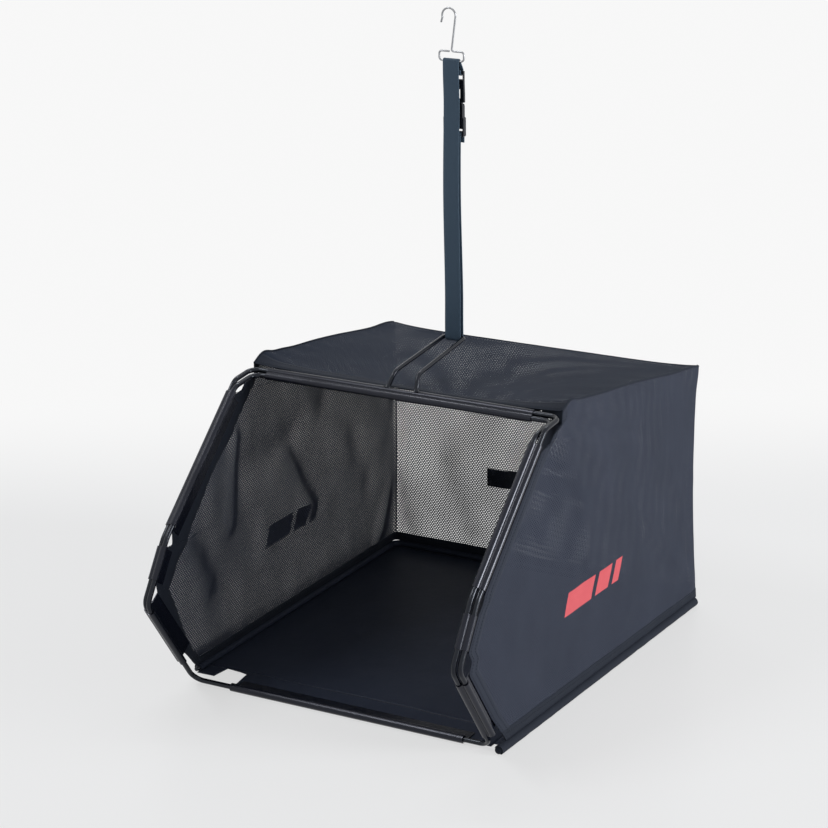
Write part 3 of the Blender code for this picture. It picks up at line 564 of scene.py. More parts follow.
def webbing(name, dark, light):
    """Heavy webbing with slanting ribs that turn about its middle."""
    n = Nodes(bpy.data.materials.new(name))
    uv, across, along = n.cloth_place()
    slant = n.maths("MULTIPLY", n.maths("PINGPONG", across, 0.0055), 0.9)
    rib = n.wave(n.maths("ADD", along, slant), 0.0021)
    thread = n.wave(across, 0.0011)
    relief = n.maths("MULTIPLY_ADD", rib, 0.35, n.maths("MULTIPLY_ADD", thread, 0.15, 0.5))
    fuzz = n.noise(uv, 500.0, 3.0)
    tone = n.maths("MULTIPLY_ADD", relief, 0.6, n.maths("MULTIPLY", fuzz, 0.4))
    return n.finish(
        Base_Color=n.blend(tone, dark, light),
        Normal=n.bump(relief, 0.0003, 0.5),
        Roughness=0.68,
        Specular_IOR_Level=0.35,
        Sheen_Weight=0.2,
        Sheen_Roughness=0.4,
    )


def zinc_wire(name):
    n = Nodes(bpy.data.materials.new(name))
    where = n.place()
    cloud = n.noise(where, 90.0, 4.0)
    drawn = n.noise(where, 700.0, 3.0, 0.7)
    return n.finish(
        Base_Color=n.blend(cloud, (0.26, 0.265, 0.275), (0.42, 0.43, 0.45)),
        Roughness=n.ramp(drawn, 0.22, 0.42, 0.3, 0.7),
        Normal=n.bump(drawn, 0.00006, 0.3),
        Metallic=1.0,
    )


def printed_ink(name, dark, light):
    n = Nodes(bpy.data.materials.new(name))
    uv, across, up = n.cloth_place()
    weave = n.maths("MULTIPLY", n.wave(across, 0.0026), n.wave(up, 0.0026))
    tone = n.maths("MULTIPLY_ADD", weave, 0.25, n.noise(uv, 160.0, 3.0))
    inside = n.add("ShaderNodeNewGeometry").outputs["Backfacing"]
    return n.finish(
        Base_Color=n.blend(inside, n.blend(tone, dark, light), (0.006, 0.006, 0.010)),
        Normal=n.bump(weave, 0.0002, 0.4),
        Roughness=0.55,
    )


STEEL = painted_steel("black_paint")
CLIP_PLASTIC = moulded_plastic("rail_plastic", (0.003, 0.004, 0.009), (0.008, 0.010, 0.017), 0.19, 0.26)
BUCKLE_PLASTIC = moulded_plastic("buckle_plastic", (0.005, 0.006, 0.009), (0.011, 0.012, 0.017), 0.30, 0.42)
# The rear, side and top take copies of one mesh cloth, with tone and hole size set per panel to how bright
# each panel looks; the top's copy is darker, painted shade.
MESH_CLOTH = mesh_cloth("mesh_cloth", (0.021, 0.025, 0.038), (0.042, 0.049, 0.071), (0.350, 0.360))
SHADED_TOP_MESH = mesh_cloth("top_mesh_painted_shade", (0.007, 0.011, 0.021), (0.017, 0.024, 0.041), (0.195, 0.205))
SIDE_MESH = mesh_cloth("side_mesh", (0.026, 0.031, 0.045), (0.052, 0.060, 0.087), (0.245, 0.260))
HEM_CLOTH = woven_cloth("hem_cloth", (0.010, 0.013, 0.020), (0.022, 0.027, 0.040), 0.0012, 0.75, 0.01)
# A lighter copy of the hem cloth for the right side's front hem, seen from outside: painted light.
LIT_OUTER_HEM = woven_cloth("outer_hem_painted_light", (0.017, 0.021, 0.031), (0.034, 0.040, 0.058), 0.0012, 0.75, 0.01)
FLOOR_CLOTH = woven_cloth("floor_cloth", (0.014, 0.019, 0.034), (0.036, 0.044, 0.068), 0.0010, 0.50, 0.01)
STRAP_WEB = webbing("strap_webbing", (0.030, 0.054, 0.088), (0.072, 0.120, 0.172))
HANDLE_WEB = webbing("handle_webbing", (0.010, 0.011, 0.014), (0.026, 0.028, 0.034))
THREAD = woven_cloth("sewing_thread", (0.012, 0.015, 0.022), (0.030, 0.036, 0.050), 0.0006, 0.7, 0.02)
ZINC = zinc_wire("zinc_wire")
INK = printed_ink("coral_print", (0.56, 0.060, 0.075), (0.66, 0.090, 0.105))


# Steel parts
def round_mouth(half, profile, radii, closed=False):
    """A path up one side of the mouth, across and down the other."""
    right = [side_point(half, point) for point in profile]
    left = [side_point(-half, point) for point in reversed(profile)]
    return spaced(rounded_path(right + left, radii + radii[::-1], closed), 0.02, closed)


def steel_parts():
    path = round_mouth(HALF_MOUTH, PROFILE, [0.014, 0.016, 0.040, 0.020, 0.012], closed=True)
    mouth = bar("mouth_rod", path, ROD_RADIUS, STEEL, closed=True)
    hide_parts("front_frame")

    path = round_mouth(HALF_MOUTH + HOOP_OUTSIDE, hoop_profile(), [0.0, 0.013, 0.040, 0.017, 0.012])
    hoop = bar("hoop_rod", path, ROD_RADIUS, STEEL)
    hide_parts("bag_hoop")

    path = spaced(sleeve_path(SLEEVE_FRONTS[0] - 0.006, SLEEVE_FRONTS[1] - 0.002), 0.02)
    low = bar("sleeve_rod", path, FLOOR_ROD_RADIUS, STEEL)
    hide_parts("floor_rod")

    path = spaced(bail_path(), 0.01)
    bail = bar("bail_rod", path, BAIL_RADIUS, STEEL)
    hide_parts("lifting_bail")


def bail_path():
    foot_base = Vector((0.0, HOOP_TOP.x, HOOP_TOP.y))
    path = []
    for side in (1, -1):
        bend = Vector((side * 0.0152, 0.165, 0.359))
        foot = foot_base + Vector((side * 0.0185, 0.0, 0.0))
        rise = Vector((0.0, bend.y - foot.y, bend.z - foot.z)).normalized()
        lean = (bend - foot).angle(rise)
        foot += rise * (ROD_RADIUS + SEAM_GAP + BAIL_RADIUS * math.sin(lean))
        end = Vector((side * 0.0130, BAIL_END.x, BAIL_END.y))
        leg = [foot, bend, end]
        path += leg if side == 1 else leg[::-1]
    return rounded_path(path, [0.0, 0.016, 0.003, 0.003, 0.016, 0.0])


def weld_beads():
    """Small beads of weld where the bail stands on the top rod."""
    points, faces, uvs = [], [], []
    path = bail_path()
    for foot, after in ((path[0], path[1]), (path[-1], path[-2])):
        rise = (after - foot).normalized()
        base = len(points)
        side = rise.cross(Vector((1.0, 0.0, 0.0))).normalized()
        other = rise.cross(side).normalized()
        for level, size in ((-0.0012, 1.5), (0.0003, 1.42), (0.0014, 1.16), (0.0022, 1.01)):
            for step in range(18):
                angle = 2 * math.pi * step / 18
                wobble = 1 + 0.05 * math.sin(5 * angle + 40 * level)
                way = side * math.cos(angle) + other * math.sin(angle)
                points.append(foot + rise * level + way * (BAIL_RADIUS * size * wobble))
                uvs.append((angle * BAIL_RADIUS, level))
        for first in (base, base + 18, base + 36):
            for step in range(18):
                after = (step + 1) % 18
                faces.append((first + step, first + after, first + 18 + after, first + 18 + step))
    new_piece("bail_welds", points, faces, uvs, STEEL)


def sleeve_path(left_front, right_front):
    back = BAG_DEPTH - CLOTH / 2
    front_half, rear_half = SLEEVE_HALVES
    corners = [
        Vector((front_half, right_front, SLEEVE_LEVEL)),
        Vector((rear_half, back, SLEEVE_LEVEL)),
        Vector((-rear_half, back, SLEEVE_LEVEL)),
        Vector((-front_half, left_front, SLEEVE_LEVEL)),
    ]
    return rounded_path(corners, [0.0, 0.014, 0.014, 0.0])


def sleeve_half(back):
    """Half the width over the sleeve's middle line, by how far back it is."""
    return mix(*SLEEVE_HALVES, (back - SLEEVE_FRONTS[1]) / SLEEVE_RUN)


# Shape of the bag
def edge_height(share):
    straight = mix(PROFILE[4].y, REAR_TOP, share)
    arch = math.sin(math.pi * max(0.0, share) ** 0.75)
    return straight + 0.008 * (1 - share) + 0.0095 * arch + corner_lift(share)


def corner_lift(share):
    """How far the side seams are pushed up where the cloth folds over its corners."""
    back = mix(TOP_EDGE_FRONT, BAG_DEPTH, share)
    return sum(height * bell(back - place, width) for place, height, width in CORNER_LIFTS)


def corner_inset(beyond):
    """How far a rounded rear corner stands in, by the way past where its bend starts."""
    beyond = min(0.707 * CORNER_RADIUS, max(0.0, beyond))
    return CORNER_RADIUS - math.sqrt(CORNER_RADIUS**2 - beyond**2)


def side_half_width(rise, share):
    rear = mix(0.021, 0.017, rise) + HALF_MOUTH - 0.003 * math.sin(math.pi * rise)
    front = mix(SLEEVE_HALVES[0], SIDE_FRONT_HALF, smooth(0.0, 0.09, rise))
    width = mix(front, rear, share)
    flare = 0.0022 * bell(1 - rise, 0.09) * bell(1 - share, 0.12)
    return width + flare + 0.003 * math.sin(math.pi * rise) * math.sin(math.pi * share)


def rear_line(rise):
    return BAG_DEPTH - 0.003 * math.sin(math.pi * rise)


def side_front_edge(side):
    upper_length = (PROFILE[3] - PROFILE[2]).length
    under = ROD_RADIUS + 0.0065 - CLOTH / 2
    edge = [Vector((HEM_CORNERS[side], PANEL_BOTTOM))]
    for number, (segment, start, length) in enumerate(CLIP_SPANS[side]):
        edge.append(along_side(segment, start, 0.013))
        edge.append(along_side(segment, start + length, 0.013))
        if number < 2:
            edge.append(offset_corner(number + 1, 0.017 if side > 0 and number == 1 else 0.026))
    edge.append(along_side(2, upper_length, 0.0245))
    edge.append(Vector((mix(PROFILE[3].x, PROFILE[4].x, 0.7), PROFILE[4].y - 0.0107)))
    ahead = 0.0025 if side > 0 else 0.0
    edge.append(Vector((TOP_EDGE_FRONT - ahead, HOOP_TOP.y - under)))
    edge.append(Vector((TOP_EDGE_FRONT, edge_height(0.0))))
    return edge


EDGES = {side: side_front_edge(side) for side in (-1, 1)}
EDGE_LENGTHS = {side: lengths_along(edge) for side, edge in EDGES.items()}


def edge_at(side, rise):
    edge, lengths = EDGES[side], EDGE_LENGTHS[side]
    index, share = stretch_at(lengths, min(1.0, max(0.0, rise)) * lengths[-1])
    return mix(edge[index], edge[index + 1], share)


def soft_edge_at(side, rise):
    """The front edge with its corners eased, as a folded hem takes them."""
    reach = 0.0035
    total = Vector((0.0, 0.0))
    weights = (0.5, 1.0, 1.4, 1.0, 0.5)
    for step, weight in zip((-2, -1, 0, 1, 2), weights):
        total += edge_at(side, rise + step * reach * min(1.0, 12 * rise, 12 * (1 - rise))) * weight
    return total / sum(weights)


def from_line(y, z, line):
    """Distance from a line of points in the side view, signed by the side it is on."""
    best, sign = 1e9, 1.0
    here = Vector((y, z))
    for start, end in zip(line, line[1:]):
        run = end - start
        share = min(1.0, max(0.0, (here - start).dot(run) / run.length_squared))
        gap = here - (start + run * share)
        if gap.length < best:
            best = gap.length
            sign = 1.0 if run.x * gap.y - run.y * gap.x > 0 else -1.0
    return best * sign


def crease(y, z, line, width, depth):
    return depth * bell(from_line(y, z, [Vector(p) for p in line]), width)


LEFT_CREASES = [
    ([(0.114, 0.262), (0.112, 0.225), (0.104, 0.182), (0.102, 0.160)], 0.010, -0.0045),
    ([(0.236, 0.205), (0.262, 0.160), (0.285, 0.125)], 0.012, -0.0035),
    ([(0.000, 0.168), (0.026, 0.138), (0.050, 0.105)], 0.016, -0.0040),
    ([(0.060, 0.235), (0.150, 0.215), (0.250, 0.225)], 0.022, 0.0025),
    ([(0.498, 0.092), (0.470, 0.060), (0.450, 0.012)], 0.012, -0.0040),
    ([(0.330, 0.250), (0.390, 0.200), (0.430, 0.120)], 0.020, 0.0025),
]
RIGHT_CREASES = [
    ([(0.500, 0.020), (0.440, 0.080), (0.360, 0.140)], 0.012, 0.0022),
    ([(0.500, 0.020), (0.420, 0.040), (0.320, 0.060)], 0.012, 0.0018),
    ([(0.500, 0.020), (0.470, 0.110), (0.430, 0.190)], 0.010, 0.0018),
    ([(0.180, 0.330), (0.250, 0.290), (0.340, 0.270)], 0.012, -0.0022),
    ([(0.160, 0.300), (0.200, 0.230), (0.210, 0.160)], 0.018, 0.0018),
    ([(0.040, 0.120), (0.120, 0.100), (0.220, 0.085)], 0.020, 0.0018),
]


def side_relief(side, y, z, rise, share, seed):
    """How far the cloth stands out from its smooth form."""
    height = edge_height(share) - PANEL_BOTTOM
    inner = smooth(0.0, 0.07, share) * smooth(0.0, 0.05, 1 - share)
    inner *= smooth(0.0, 0.10, rise) * smooth(0.0, 0.10, 1 - rise)
    lines = LEFT_CREASES if side < 0 else RIGHT_CREASES
    relief = sum(crease(y, z, line, width, depth) for line, width, depth in lines)
    broad = noise.noise(Vector((y * 9 + seed, z * 9, 2.5))) * 0.0024
    fine = noise.noise(Vector((y * 34 + seed, z * 22, 7.5))) * 0.0007
    seam = bell((1 - rise) * height, 0.030) + bell(rise * height, 0.022)
    pucker = noise.noise(Vector((y * 46, z * 12, seed))) * 0.0009 * seam
    upright = bell((1 - share) * 0.4, 0.024)
    pucker += noise.noise(Vector((y * 12, z * 42, seed))) * 0.0007 * upright
    ends = smooth(0.0, 0.012, rise) * smooth(0.0, 0.012, 1 - rise)
    ends *= smooth(0.0, 0.012, share) * smooth(0.0, 0.012, 1 - share)
    return (relief + broad + fine) * inner + pucker * ends * smooth(0.0, 0.05, share)


def side_place(side, rise, share):
    """A point of a side's cloth, by its share of the height and of the way back."""
    front = soft_edge_at(side, rise)
    rear_height = edge_height(1.0) - PANEL_BOTTOM
    rear = Vector((rear_line(rise) - 0.293 * CORNER_RADIUS, PANEL_BOTTOM + rear_height * rise))
    place = mix(front, rear, share)
    straight = mix(EDGES[side][-1].y, edge_height(1.0), share)
    place.y += (edge_height(share) - straight) * rise ** 4
    seed = 3.7 if side < 0 else 11.2
    width = side_half_width(rise, share) + side_relief(side, place.x, place.y, rise, share, seed)
    width -= corner_inset(place.x - (rear_line(rise) - CORNER_RADIUS))
    return Vector((side * width, place.x, place.y))


def fold_shade(y, z, lines, seed, soft_share):
    """Painted shade: how far the inward creases, and soft streaks from noise, close the cloth's holes at a
    place, so that they read darker.
    """
    value = 0.0
    for line, width, depth in lines:
        if depth < 0:
            value += bell(from_line(y, z, [Vector(p) for p in line]), 1.3 * width) * min(1.0, -depth / 0.0045)
    soft = noise.noise(Vector((y * 17 + seed, z * 7 + y * 5, 1.7)))
    return min(1.0, 0.60 * value + soft_share * smooth(0.0, 0.60, soft))


def paint_fold_shade(item, places, lines, seed, soft_share=0.45):
    # Stores the painted fold shade in the 'folded' attribute, which darkens the mesh cloth by closing its
    # holes.
    layer = item.data.attributes.new("folded", "FLOAT", "POINT")
    for index, (across, up) in enumerate(places):
        layer.data[index].value = fold_shade(across, up, lines, seed, soft_share)


def side_cloth():
    made = {}
    for side, name, node in ((-1, "left_cloth", "left_panel"), (1, "right_cloth", "right_panel")):
        def place_at(rise, share):
            return side_place(side, rise, share)

        item, places = sheet_piece(name, 130, 150, place_at, (1, 2), SIDE_MESH, flip=side < 0)
        paint_fold_shade(item, places, LEFT_CREASES if side < 0 else RIGHT_CREASES, 3.0 * side)
        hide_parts(node)
        made[side] = item
    return made


def hem_grid(name, rows, half_thick, material):
    """A hem through rows of places with the way out, thick on both sides of the cloth."""
    points, uvs = [], []
    count = len(rows[0])
    for sign in (-1, 1):
        for row in rows:
            for index, (place, out, uv) in enumerate(row):
                ease = 0.35 if index in (0, count - 1) else 1.0
                points.append(place + out * (sign * half_thick * ease))
                uvs.append(uv)
    layer = len(rows) * count
    faces = grid_faces(len(rows), count, flip=True) + grid_faces(len(rows), count, start=layer)
    last = len(rows) - 1
    for row in range(last):
        for column in (0, count - 1):
            first = row * count + column
            faces.append((first, first + count, first + count + layer, first + layer))
    for row in (0, last):
        for column in range(count - 1):
            first = row * count + column
            faces.append((first, first + 1, first + 1 + layer, first + layer))
    item = new_piece(name, points, faces, uvs, material)
    outward(item)
    return item


def hem(name, steps, row_at, axes, out, half_thick, material=HEM_CLOTH):
    """A hem whose rows are worked out from the share of its length."""
    rows = []
    for share in shares(steps):
        rows.append([(place, out, (place[axes[0]], place[axes[1]])) for place in row_at(share)])
    return hem_grid(name, rows, half_thick, material)


HEM_LINE = PROFILE[:3] + [PROFILE[3] + (PROFILE[3] - PROFILE[2]) * 0.4]


def hem_share(side, rise):
    """How far back along a side its front hem reaches."""
    wanted = mix(0.027, 0.044, smooth(0.08, 0.34, rise)) - 0.010 * smooth(0.88, 1.0, rise)
    if side > 0:
        wanted = mix(wanted, 0.027, 0.85)
    low, high = 0.0, 0.3
    for _ in range(12):
        middle = 0.5 * (low + high)
        place = side_place(side, rise, middle)
        if abs(from_line(place.y, place.z, HEM_LINE)) < wanted:
            low = middle
        else:
            high = middle
    return max(high, 0.03)


def side_hems():
    """Doubled hems along the front and the bottom of both sides."""
    made = {}
    for side, hand in ((-1, "left"), (1, "right")):
        def front_row(rise):
            inner = hem_share(side, rise)
            return [side_place(side, rise, inner * part) for part in FRONT_HEM_PARTS]

        def bottom_row(share):
            height = edge_height(share) - PANEL_BOTTOM
            return [side_place(side, level / height, share) for level in LOW_HEM_LEVELS]

        out = Vector((side, 0.0, 0.0))
        # The right side's front hem takes the lighter copy, painted light; the left's, seen from inside,
        # takes the plain hem cloth.
        front_cloth = HEM_CLOTH if side < 0 else LIT_OUTER_HEM
        made[side] = [
            hem(f"{hand}_front_hem", 140, front_row, (1, 2), out, HEM_HALF, front_cloth),
            hem(f"{hand}_bottom_hem", 120, bottom_row, (1, 2), out, LOW_HEM_HALF),
            skirt(side, hand),
        ]
    made[1] += [sleeve_end(), corner_shade_facing()]
    return made


def skirt(side, hand):
    """The lower edge of a side's cloth, drawn down round the outside of the floor's sleeve."""
    front = SLEEVE_FRONTS[0] if side < 0 else SLEEVE_FRONTS[1] - 0.0012
    angles = (112, 96, 78, 60, 40, 20, 0, -20, -40, -58)
    if side > 0:
        angles = (150, 132) + angles
    rows = []
    for share in shares(100):
        back = mix(front, BAG_DEPTH - 0.010, share)
        middle = Vector((side * sleeve_half(back), back, SLEEVE_LEVEL))
        row = []
        for angle in angles:
            turn = math.radians(angle)
            out = Vector((side * math.cos(turn), 0.0, math.sin(turn)))
            wave = 0.0003 * noise.noise(Vector((back * 60, angle * 0.02, side)))
            place = middle + out * (SLEEVE_RADIUS + 0.0007 + wave)
            place.z = max(0.0007, place.z)
            row.append((place, out, (back, SLEEVE_RADIUS * turn)))
        rows.append(row)
    return hem_grid(f"{hand}_skirt", rows, STRIP_HALF, HEM_CLOTH)


def sleeve_end():
    """The closed right end of the floor's sleeve, a fold of cloth drawn in over it."""
    front = SLEEVE_FRONTS[1]
    half = sleeve_half(front)
    rings, uv_rings = [], []
    for step in range(9):
        turn = math.radians(min(88.0, 11.2 * step))
        radius = (SLEEVE_RADIUS + 0.0010) * math.cos(turn)
        ring, uv_ring = [], []
        for index in range(24):
            angle = math.tau * index / 24
            size = radius * (1 + 0.05 * math.cos(angle * 5 + 1) * math.sin(turn))
            place = Vector((half + size * math.cos(angle), 0.0, size * math.sin(angle)))
            place.y = front + 0.0020 - 0.0050 * math.sin(turn)
            place.z = max(0.0007, SLEEVE_LEVEL + place.z)
            ring.append(place)
            uv_ring.append((angle * SLEEVE_RADIUS, 0.006 * turn))
        rings.append(ring)
        uv_rings.append(uv_ring)
    return swept("right_sleeve_end", rings, uv_rings, HEM_CLOTH)


def corner_shade_facing():
    """The turned-in edge of the right side, behind the rods at the upper corner: a dark strip of hem cloth
    that also stands in for the painted shade between the rods and the cloth.
    """
    def row_at(share):
        rise = mix(0.83, 0.995, share)
        edge = side_place(1, rise, 0.0)
        row = []
        for part in (0.0, 0.2, 0.4, 0.6, 0.8, 1.0):
            wave = 0.0006 * noise.noise(Vector((part * 2, rise * 30, 4.0)))
            row.append(edge + Vector((-0.0005 - 0.0140 * part, 0.0008 + 0.0020 * part + wave, -0.001 * part)))
        return row

    return hem("right_corner_shade_facing", 40, row_at, (0, 2), -REARWARD, STRIP_HALF)


def crown(across):
    return abs(across) ** 2.2


def top_relief(x, y, across, share):
    inner = smooth(1.0, 0.86, abs(across)) * smooth(0.0, 0.05, share) * smooth(0.0, 0.06, 1 - share)
    broad = noise.noise(Vector((x * 7, y * 7, 21.0))) * 0.0020
    fine = noise.noise(Vector((x * 24, y * 24, 5.0))) * 0.0004
    radial = noise.noise(Vector((x * 40, y * 10, 3.0)))
    front = radial * 0.0012 * bell(share * 0.35 - 0.016, 0.030) * smooth(0.0, 0.04, share)
    edge = noise.noise(Vector((x * 10, y * 40, 6.0)))
    side = edge * 0.0008 * bell((1 - abs(across)) * 0.2 - 0.012, 0.024) * smooth(1.0, 0.97, abs(across))
    return (broad + fine) * inner + front * smooth(1.0, 0.95, abs(across)) + side * smooth(0.0, 0.04, share)


def top_place(across, share):
    lift = corner_lift(share)
    seam = edge_height(share) - lift - CLOTH / 2
    flange_top = HOOP_TOP.y - 0.0015 + 0.0010
    middle = mix(flange_top + 3 * CLOTH, REAR_TOP - CLOTH / 2, share) - 0.004 * math.sin(math.pi * share)
    height = mix(middle, seam, crown(across)) + lift * abs(across) ** 7
    back = mix(TOP_EDGE_FRONT, BAG_DEPTH, share)
    half = side_half_width(1.0, share) - 0.0002
    half -= corner_inset(back - (BAG_DEPTH - CORNER_RADIUS)) * smooth(0.9, 1.0, abs(across))
    back -= corner_inset(abs(across * half) - (half - CORNER_RADIUS)) * smooth(0.97, 1.0, share)
    return Vector((across * half, back, height + top_relief(across * half, back, across, share)))


def top_cloth():
    def place_at(share, across):
        return top_place(2 * across - 1, share)

    def front_row(across):
        row = []
        for reach in (-0.0003, 0.001, 0.006, 0.012, 0.0165, 0.0175):
            place = top_place(2 * across - 1, max(0.0, reach) / TOP_DEPTH)
            place.y += min(0.0, reach)
            row.append(place)
        return row

    item, _ = sheet_piece("top_cloth", 110, 130, place_at, (0, 1), SHADED_TOP_MESH)
    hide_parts("top_panel")
    return item, [hem("top_front_hem", 130, front_row, (0, 1), UP, HEM_HALF), front_lip()]


def front_lip():
    """The top's front edge where it turns down to meet the right side's facing."""
    def row_at(share):
        edge = top_place(mix(0.87, 0.992, share), 0.0)
        drops = [Vector((0.0, 0.0010 + 0.0012 * part, -0.0002 - 0.0075 * part)) for part in shares(4)]
        return [edge + drop for drop in drops]

    return hem("top_corner_lip", 24, row_at, (0, 2), -REARWARD, STRIP_HALF)


BACK_CREASES = [
    ([(-0.132, 0.135), (-0.112, 0.083), (-0.102, 0.046)], 0.013, -0.0020),
    ([(-0.206, 0.100), (-0.194, 0.057), (-0.184, 0.020)], 0.010, -0.0022),
    ([(0.060, 0.260), (0.100, 0.200), (0.120, 0.120)], 0.014, 0.0020),
    ([(-0.060, 0.270), (-0.040, 0.210), (-0.050, 0.150)], 0.016, 0.0020),
    ([(0.205, 0.090), (0.190, 0.050), (0.180, 0.015)], 0.010, -0.0030),
]


def fullness(across, rise):
    """How far the back swells out in its middle."""
    return 0.006 * math.cos(0.5 * math.pi * across) * math.sin(math.pi * rise)


def back_place(across, rise):
    top = REAR_TOP - 2 * CLOTH - SEAM_GAP + corner_lift(1.0) * abs(across) ** 7
    full = side_half_width(rise, 1.0)
    half = full - 0.293 * CORNER_RADIUS
    x = across * half
    z = mix(PANEL_BOTTOM, top, rise)
    inset = corner_inset(abs(x) - (full - CORNER_RADIUS))
    depth = rear_line(rise) + fullness(across, rise) - CLOTH / 2 - inset
    inner = smooth(1.0, 0.90, abs(across)) * smooth(0.0, 0.10, rise) * smooth(0.0, 0.08, 1 - rise)
    relief = sum(crease(x, z, line, width, amount) for line, width, amount in BACK_CREASES)
    relief += noise.noise(Vector((x * 9, z * 9, 41.0))) * 0.0024
    relief += noise.noise(Vector((x * 30, z * 24, 17.0))) * 0.0007
    beside_handle = bell(z - HANDLE_LEVEL, 0.030) * smooth(0.095, 0.080, abs(x))
    relief *= inner * (1 - 0.85 * beside_handle)
    pucker = noise.noise(Vector((x * 46, z * 12, 8.0))) * 0.0008
    pucker *= bell(rise * 0.29 - 0.016, 0.020) * smooth(0.0, 0.03, rise) * smooth(1.0, 0.95, abs(across))
    return Vector((x, depth + relief + pucker, z))


def back_cloth():
    def place_at(rise, across):
        return back_place(2 * across - 1, rise)

    def bottom_row(across):
        return [back_place(2 * across - 1, level / BACK_HEIGHT) for level in LOW_HEM_LEVELS]

    item, places = sheet_piece("back_cloth", 100, 140, place_at, (0, 2), MESH_CLOTH, flip=True)
    paint_fold_shade(item, places, BACK_CREASES, 8.0, 0.2)
    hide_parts("back_panel")
    return item, [hem("back_bottom_hem", 130, bottom_row, (0, 2), REARWARD, LOW_HEM_HALF)]


def seam_binding(name, path, toward, half, thick, material):
    """A folded tape over a seam: a flattened, slightly uneven roll."""
    rings, uv_rings = [], []
    for place, length, (_, _, run) in zip(path, lengths_along(path), frames_along(path)):
        out = toward.normalized()
        out = (out - run * out.dot(run)).normalized()
        side = run.cross(out).normalized()
        swell = 1 + 0.10 * noise.noise(Vector((length * 60, half * 900, 0.0)))
        rings.append(oval(place, side, out, half * swell, thick * swell, 12))
        uv_rings.append(oval_uvs(half, length, 12))
    return swept(name, rings, uv_rings, material)


def seams():
    """Bindings on the top, rear and corner seams."""
    made = {}
    for side, hand in ((-1, "left"), (1, "right")):
        shift = Vector((-side * 0.0004, 0.0, -0.0002))
        path = [side_place(side, 1.0, share) + shift for share in shares(100)]
        toward = Vector((side, 0.0, 1.0))
        top = seam_binding(f"{hand}_top_seam", path, toward, 0.0016, 0.0009, HEM_CLOTH)
        shift = Vector((-side * 0.0006, -0.0004, 0.0))
        path = [side_place(side, mix(0.01, 0.995, share), 1.0) + shift for share in shares(80)]
        toward = Vector((side, 1.0, 0.0))
        rear = seam_binding(f"{hand}_rear_seam", path, toward, 0.0009, 0.0006, SIDE_MESH)
        made[hand] = [top, rear]
    shift = Vector((0.0, 0.0, 2 * CLOTH - 0.0005))
    path = [back_place(2 * share - 1, 1.0) + shift for share in shares(100)]
    toward = Vector((0.0, 1.0, 1.0))
    made["back"] = [seam_binding("rear_top_seam", path, toward, 0.0016, 0.0009, HEM_CLOTH)]
    return made


# Floor
def floor_relief(x, y):
    edge = min(0.209 - abs(x), 0.49 - y, y - 0.008)
    inner = smooth(0.0, 0.05, edge)
    swell = 0.0030 * (0.5 + 0.5 * noise.noise(Vector((x * 7, y * 7, 3.3))))
    ridge = noise.noise(Vector((x * 22, y * 13, 9.1)))
    return (swell + 0.0011 * max(0.0, ridge)) * inner + 0.0002


def floor_cloth():
    points, uvs, faces = [], [], []

    def patch(rows, columns, bounds):
        base = len(points)
        for along in shares(rows):
            for across in shares(columns):
                x, y = bounds(along, across)
                points.append(Vector((x, y, 0.0011 + floor_relief(x, y))))
                uvs.append((x, y))
        faces.extend(grid_faces(rows + 1, columns + 1, start=base))

    def main_part(along, across):
        y = mix(0.050, BAG_DEPTH - 0.002, along)
        half = sleeve_half(y) - 0.0015
        corner = max(0.0, y - (BAG_DEPTH - 0.014)) / 0.014
        half -= 0.014 * (1 - math.sqrt(max(0.0, 1 - min(1.0, corner) ** 2)))
        return mix(-half, half, across), y

    def front_part(along, across):
        y = mix(0.006, 0.050, along)
        left = -0.1435 - 0.005 * smooth(0.006, 0.012, y) - 0.003 * smooth(0.012, 0.046, y)
        left -= 0.0305 * smooth(0.0455, 0.050, y)
        return mix(left, 0.193, across), y

    def left_tab(along, across):
        y = mix(0.025, 0.050, along)
        return mix(-0.2085, mix(-0.185, -0.182, along), across), y

    def right_tab(along, across):
        return mix(0.193, 0.2087, across), mix(0.0135, 0.050, along)

    patch(120, 110, main_part)
    patch(16, 90, front_part)
    patch(6, 8, left_tab)
    patch(8, 6, right_tab)
    item = new_piece("floor_cloth", points, faces, uvs, FLOOR_CLOTH, smooth_angle=80)
    thick = item.modifiers.new("thickness", "SOLIDIFY")
    thick.thickness = 0.0009
    thick.offset = -1.0
    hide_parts("floor_panel")
    return item, [floor_sleeve()]


def floor_sleeve():
    """The sleeve round the floor's rod, open at both front ends."""
    path = spaced(sleeve_path(*SLEEVE_FRONTS), 0.006)
    frames = frames_along(path)
    rings, uv_rings = [], []
    for place, length, (_, _, run) in zip(path, lengths_along(path), frames):
        across = Vector((run.y, -run.x, 0.0)).normalized()
        ring = []
        for step in range(22):
            angle = 2 * math.pi * step / 22
            wrinkle = 0.00022 * noise.noise(Vector((length * 55, angle * 0.7, 4.0)))
            size = SLEEVE_RADIUS - 0.0002 + wrinkle
            ring.append(place + across * (size * math.cos(angle)) + UP * (size * math.sin(angle)))
        rings.append(ring)
        uv_rings.append(oval_uvs(SLEEVE_RADIUS, length, 22))
    for end in (0, -1):
        run = frames[end][2] * (1 if end == 0 else -1)
        inner = [mix(rings[end][0].lerp(rings[end][11], 0.5), point, 0.66) for point in rings[end]]
        deep = [point + run * 0.012 for point in inner]
        if end == 0:
            rings = [deep, inner] + rings
            uv_rings = [uv_rings[0], uv_rings[0]] + uv_rings
        else:
            rings += [inner, deep]
            uv_rings += [uv_rings[-1], uv_rings[-1]]
    return swept("floor_sleeve", rings, uv_rings, FLOOR_CLOTH, capped=False)


# Webbing
def turn_round(centre, radius, start, end):
    steps = max(2, math.ceil(abs(end - start) / 9))
    angles = [math.radians(mix(start, end, step / steps)) for step in range(steps + 1)]
    return [centre + Vector((math.cos(a), math.sin(a))) * radius for a in angles]


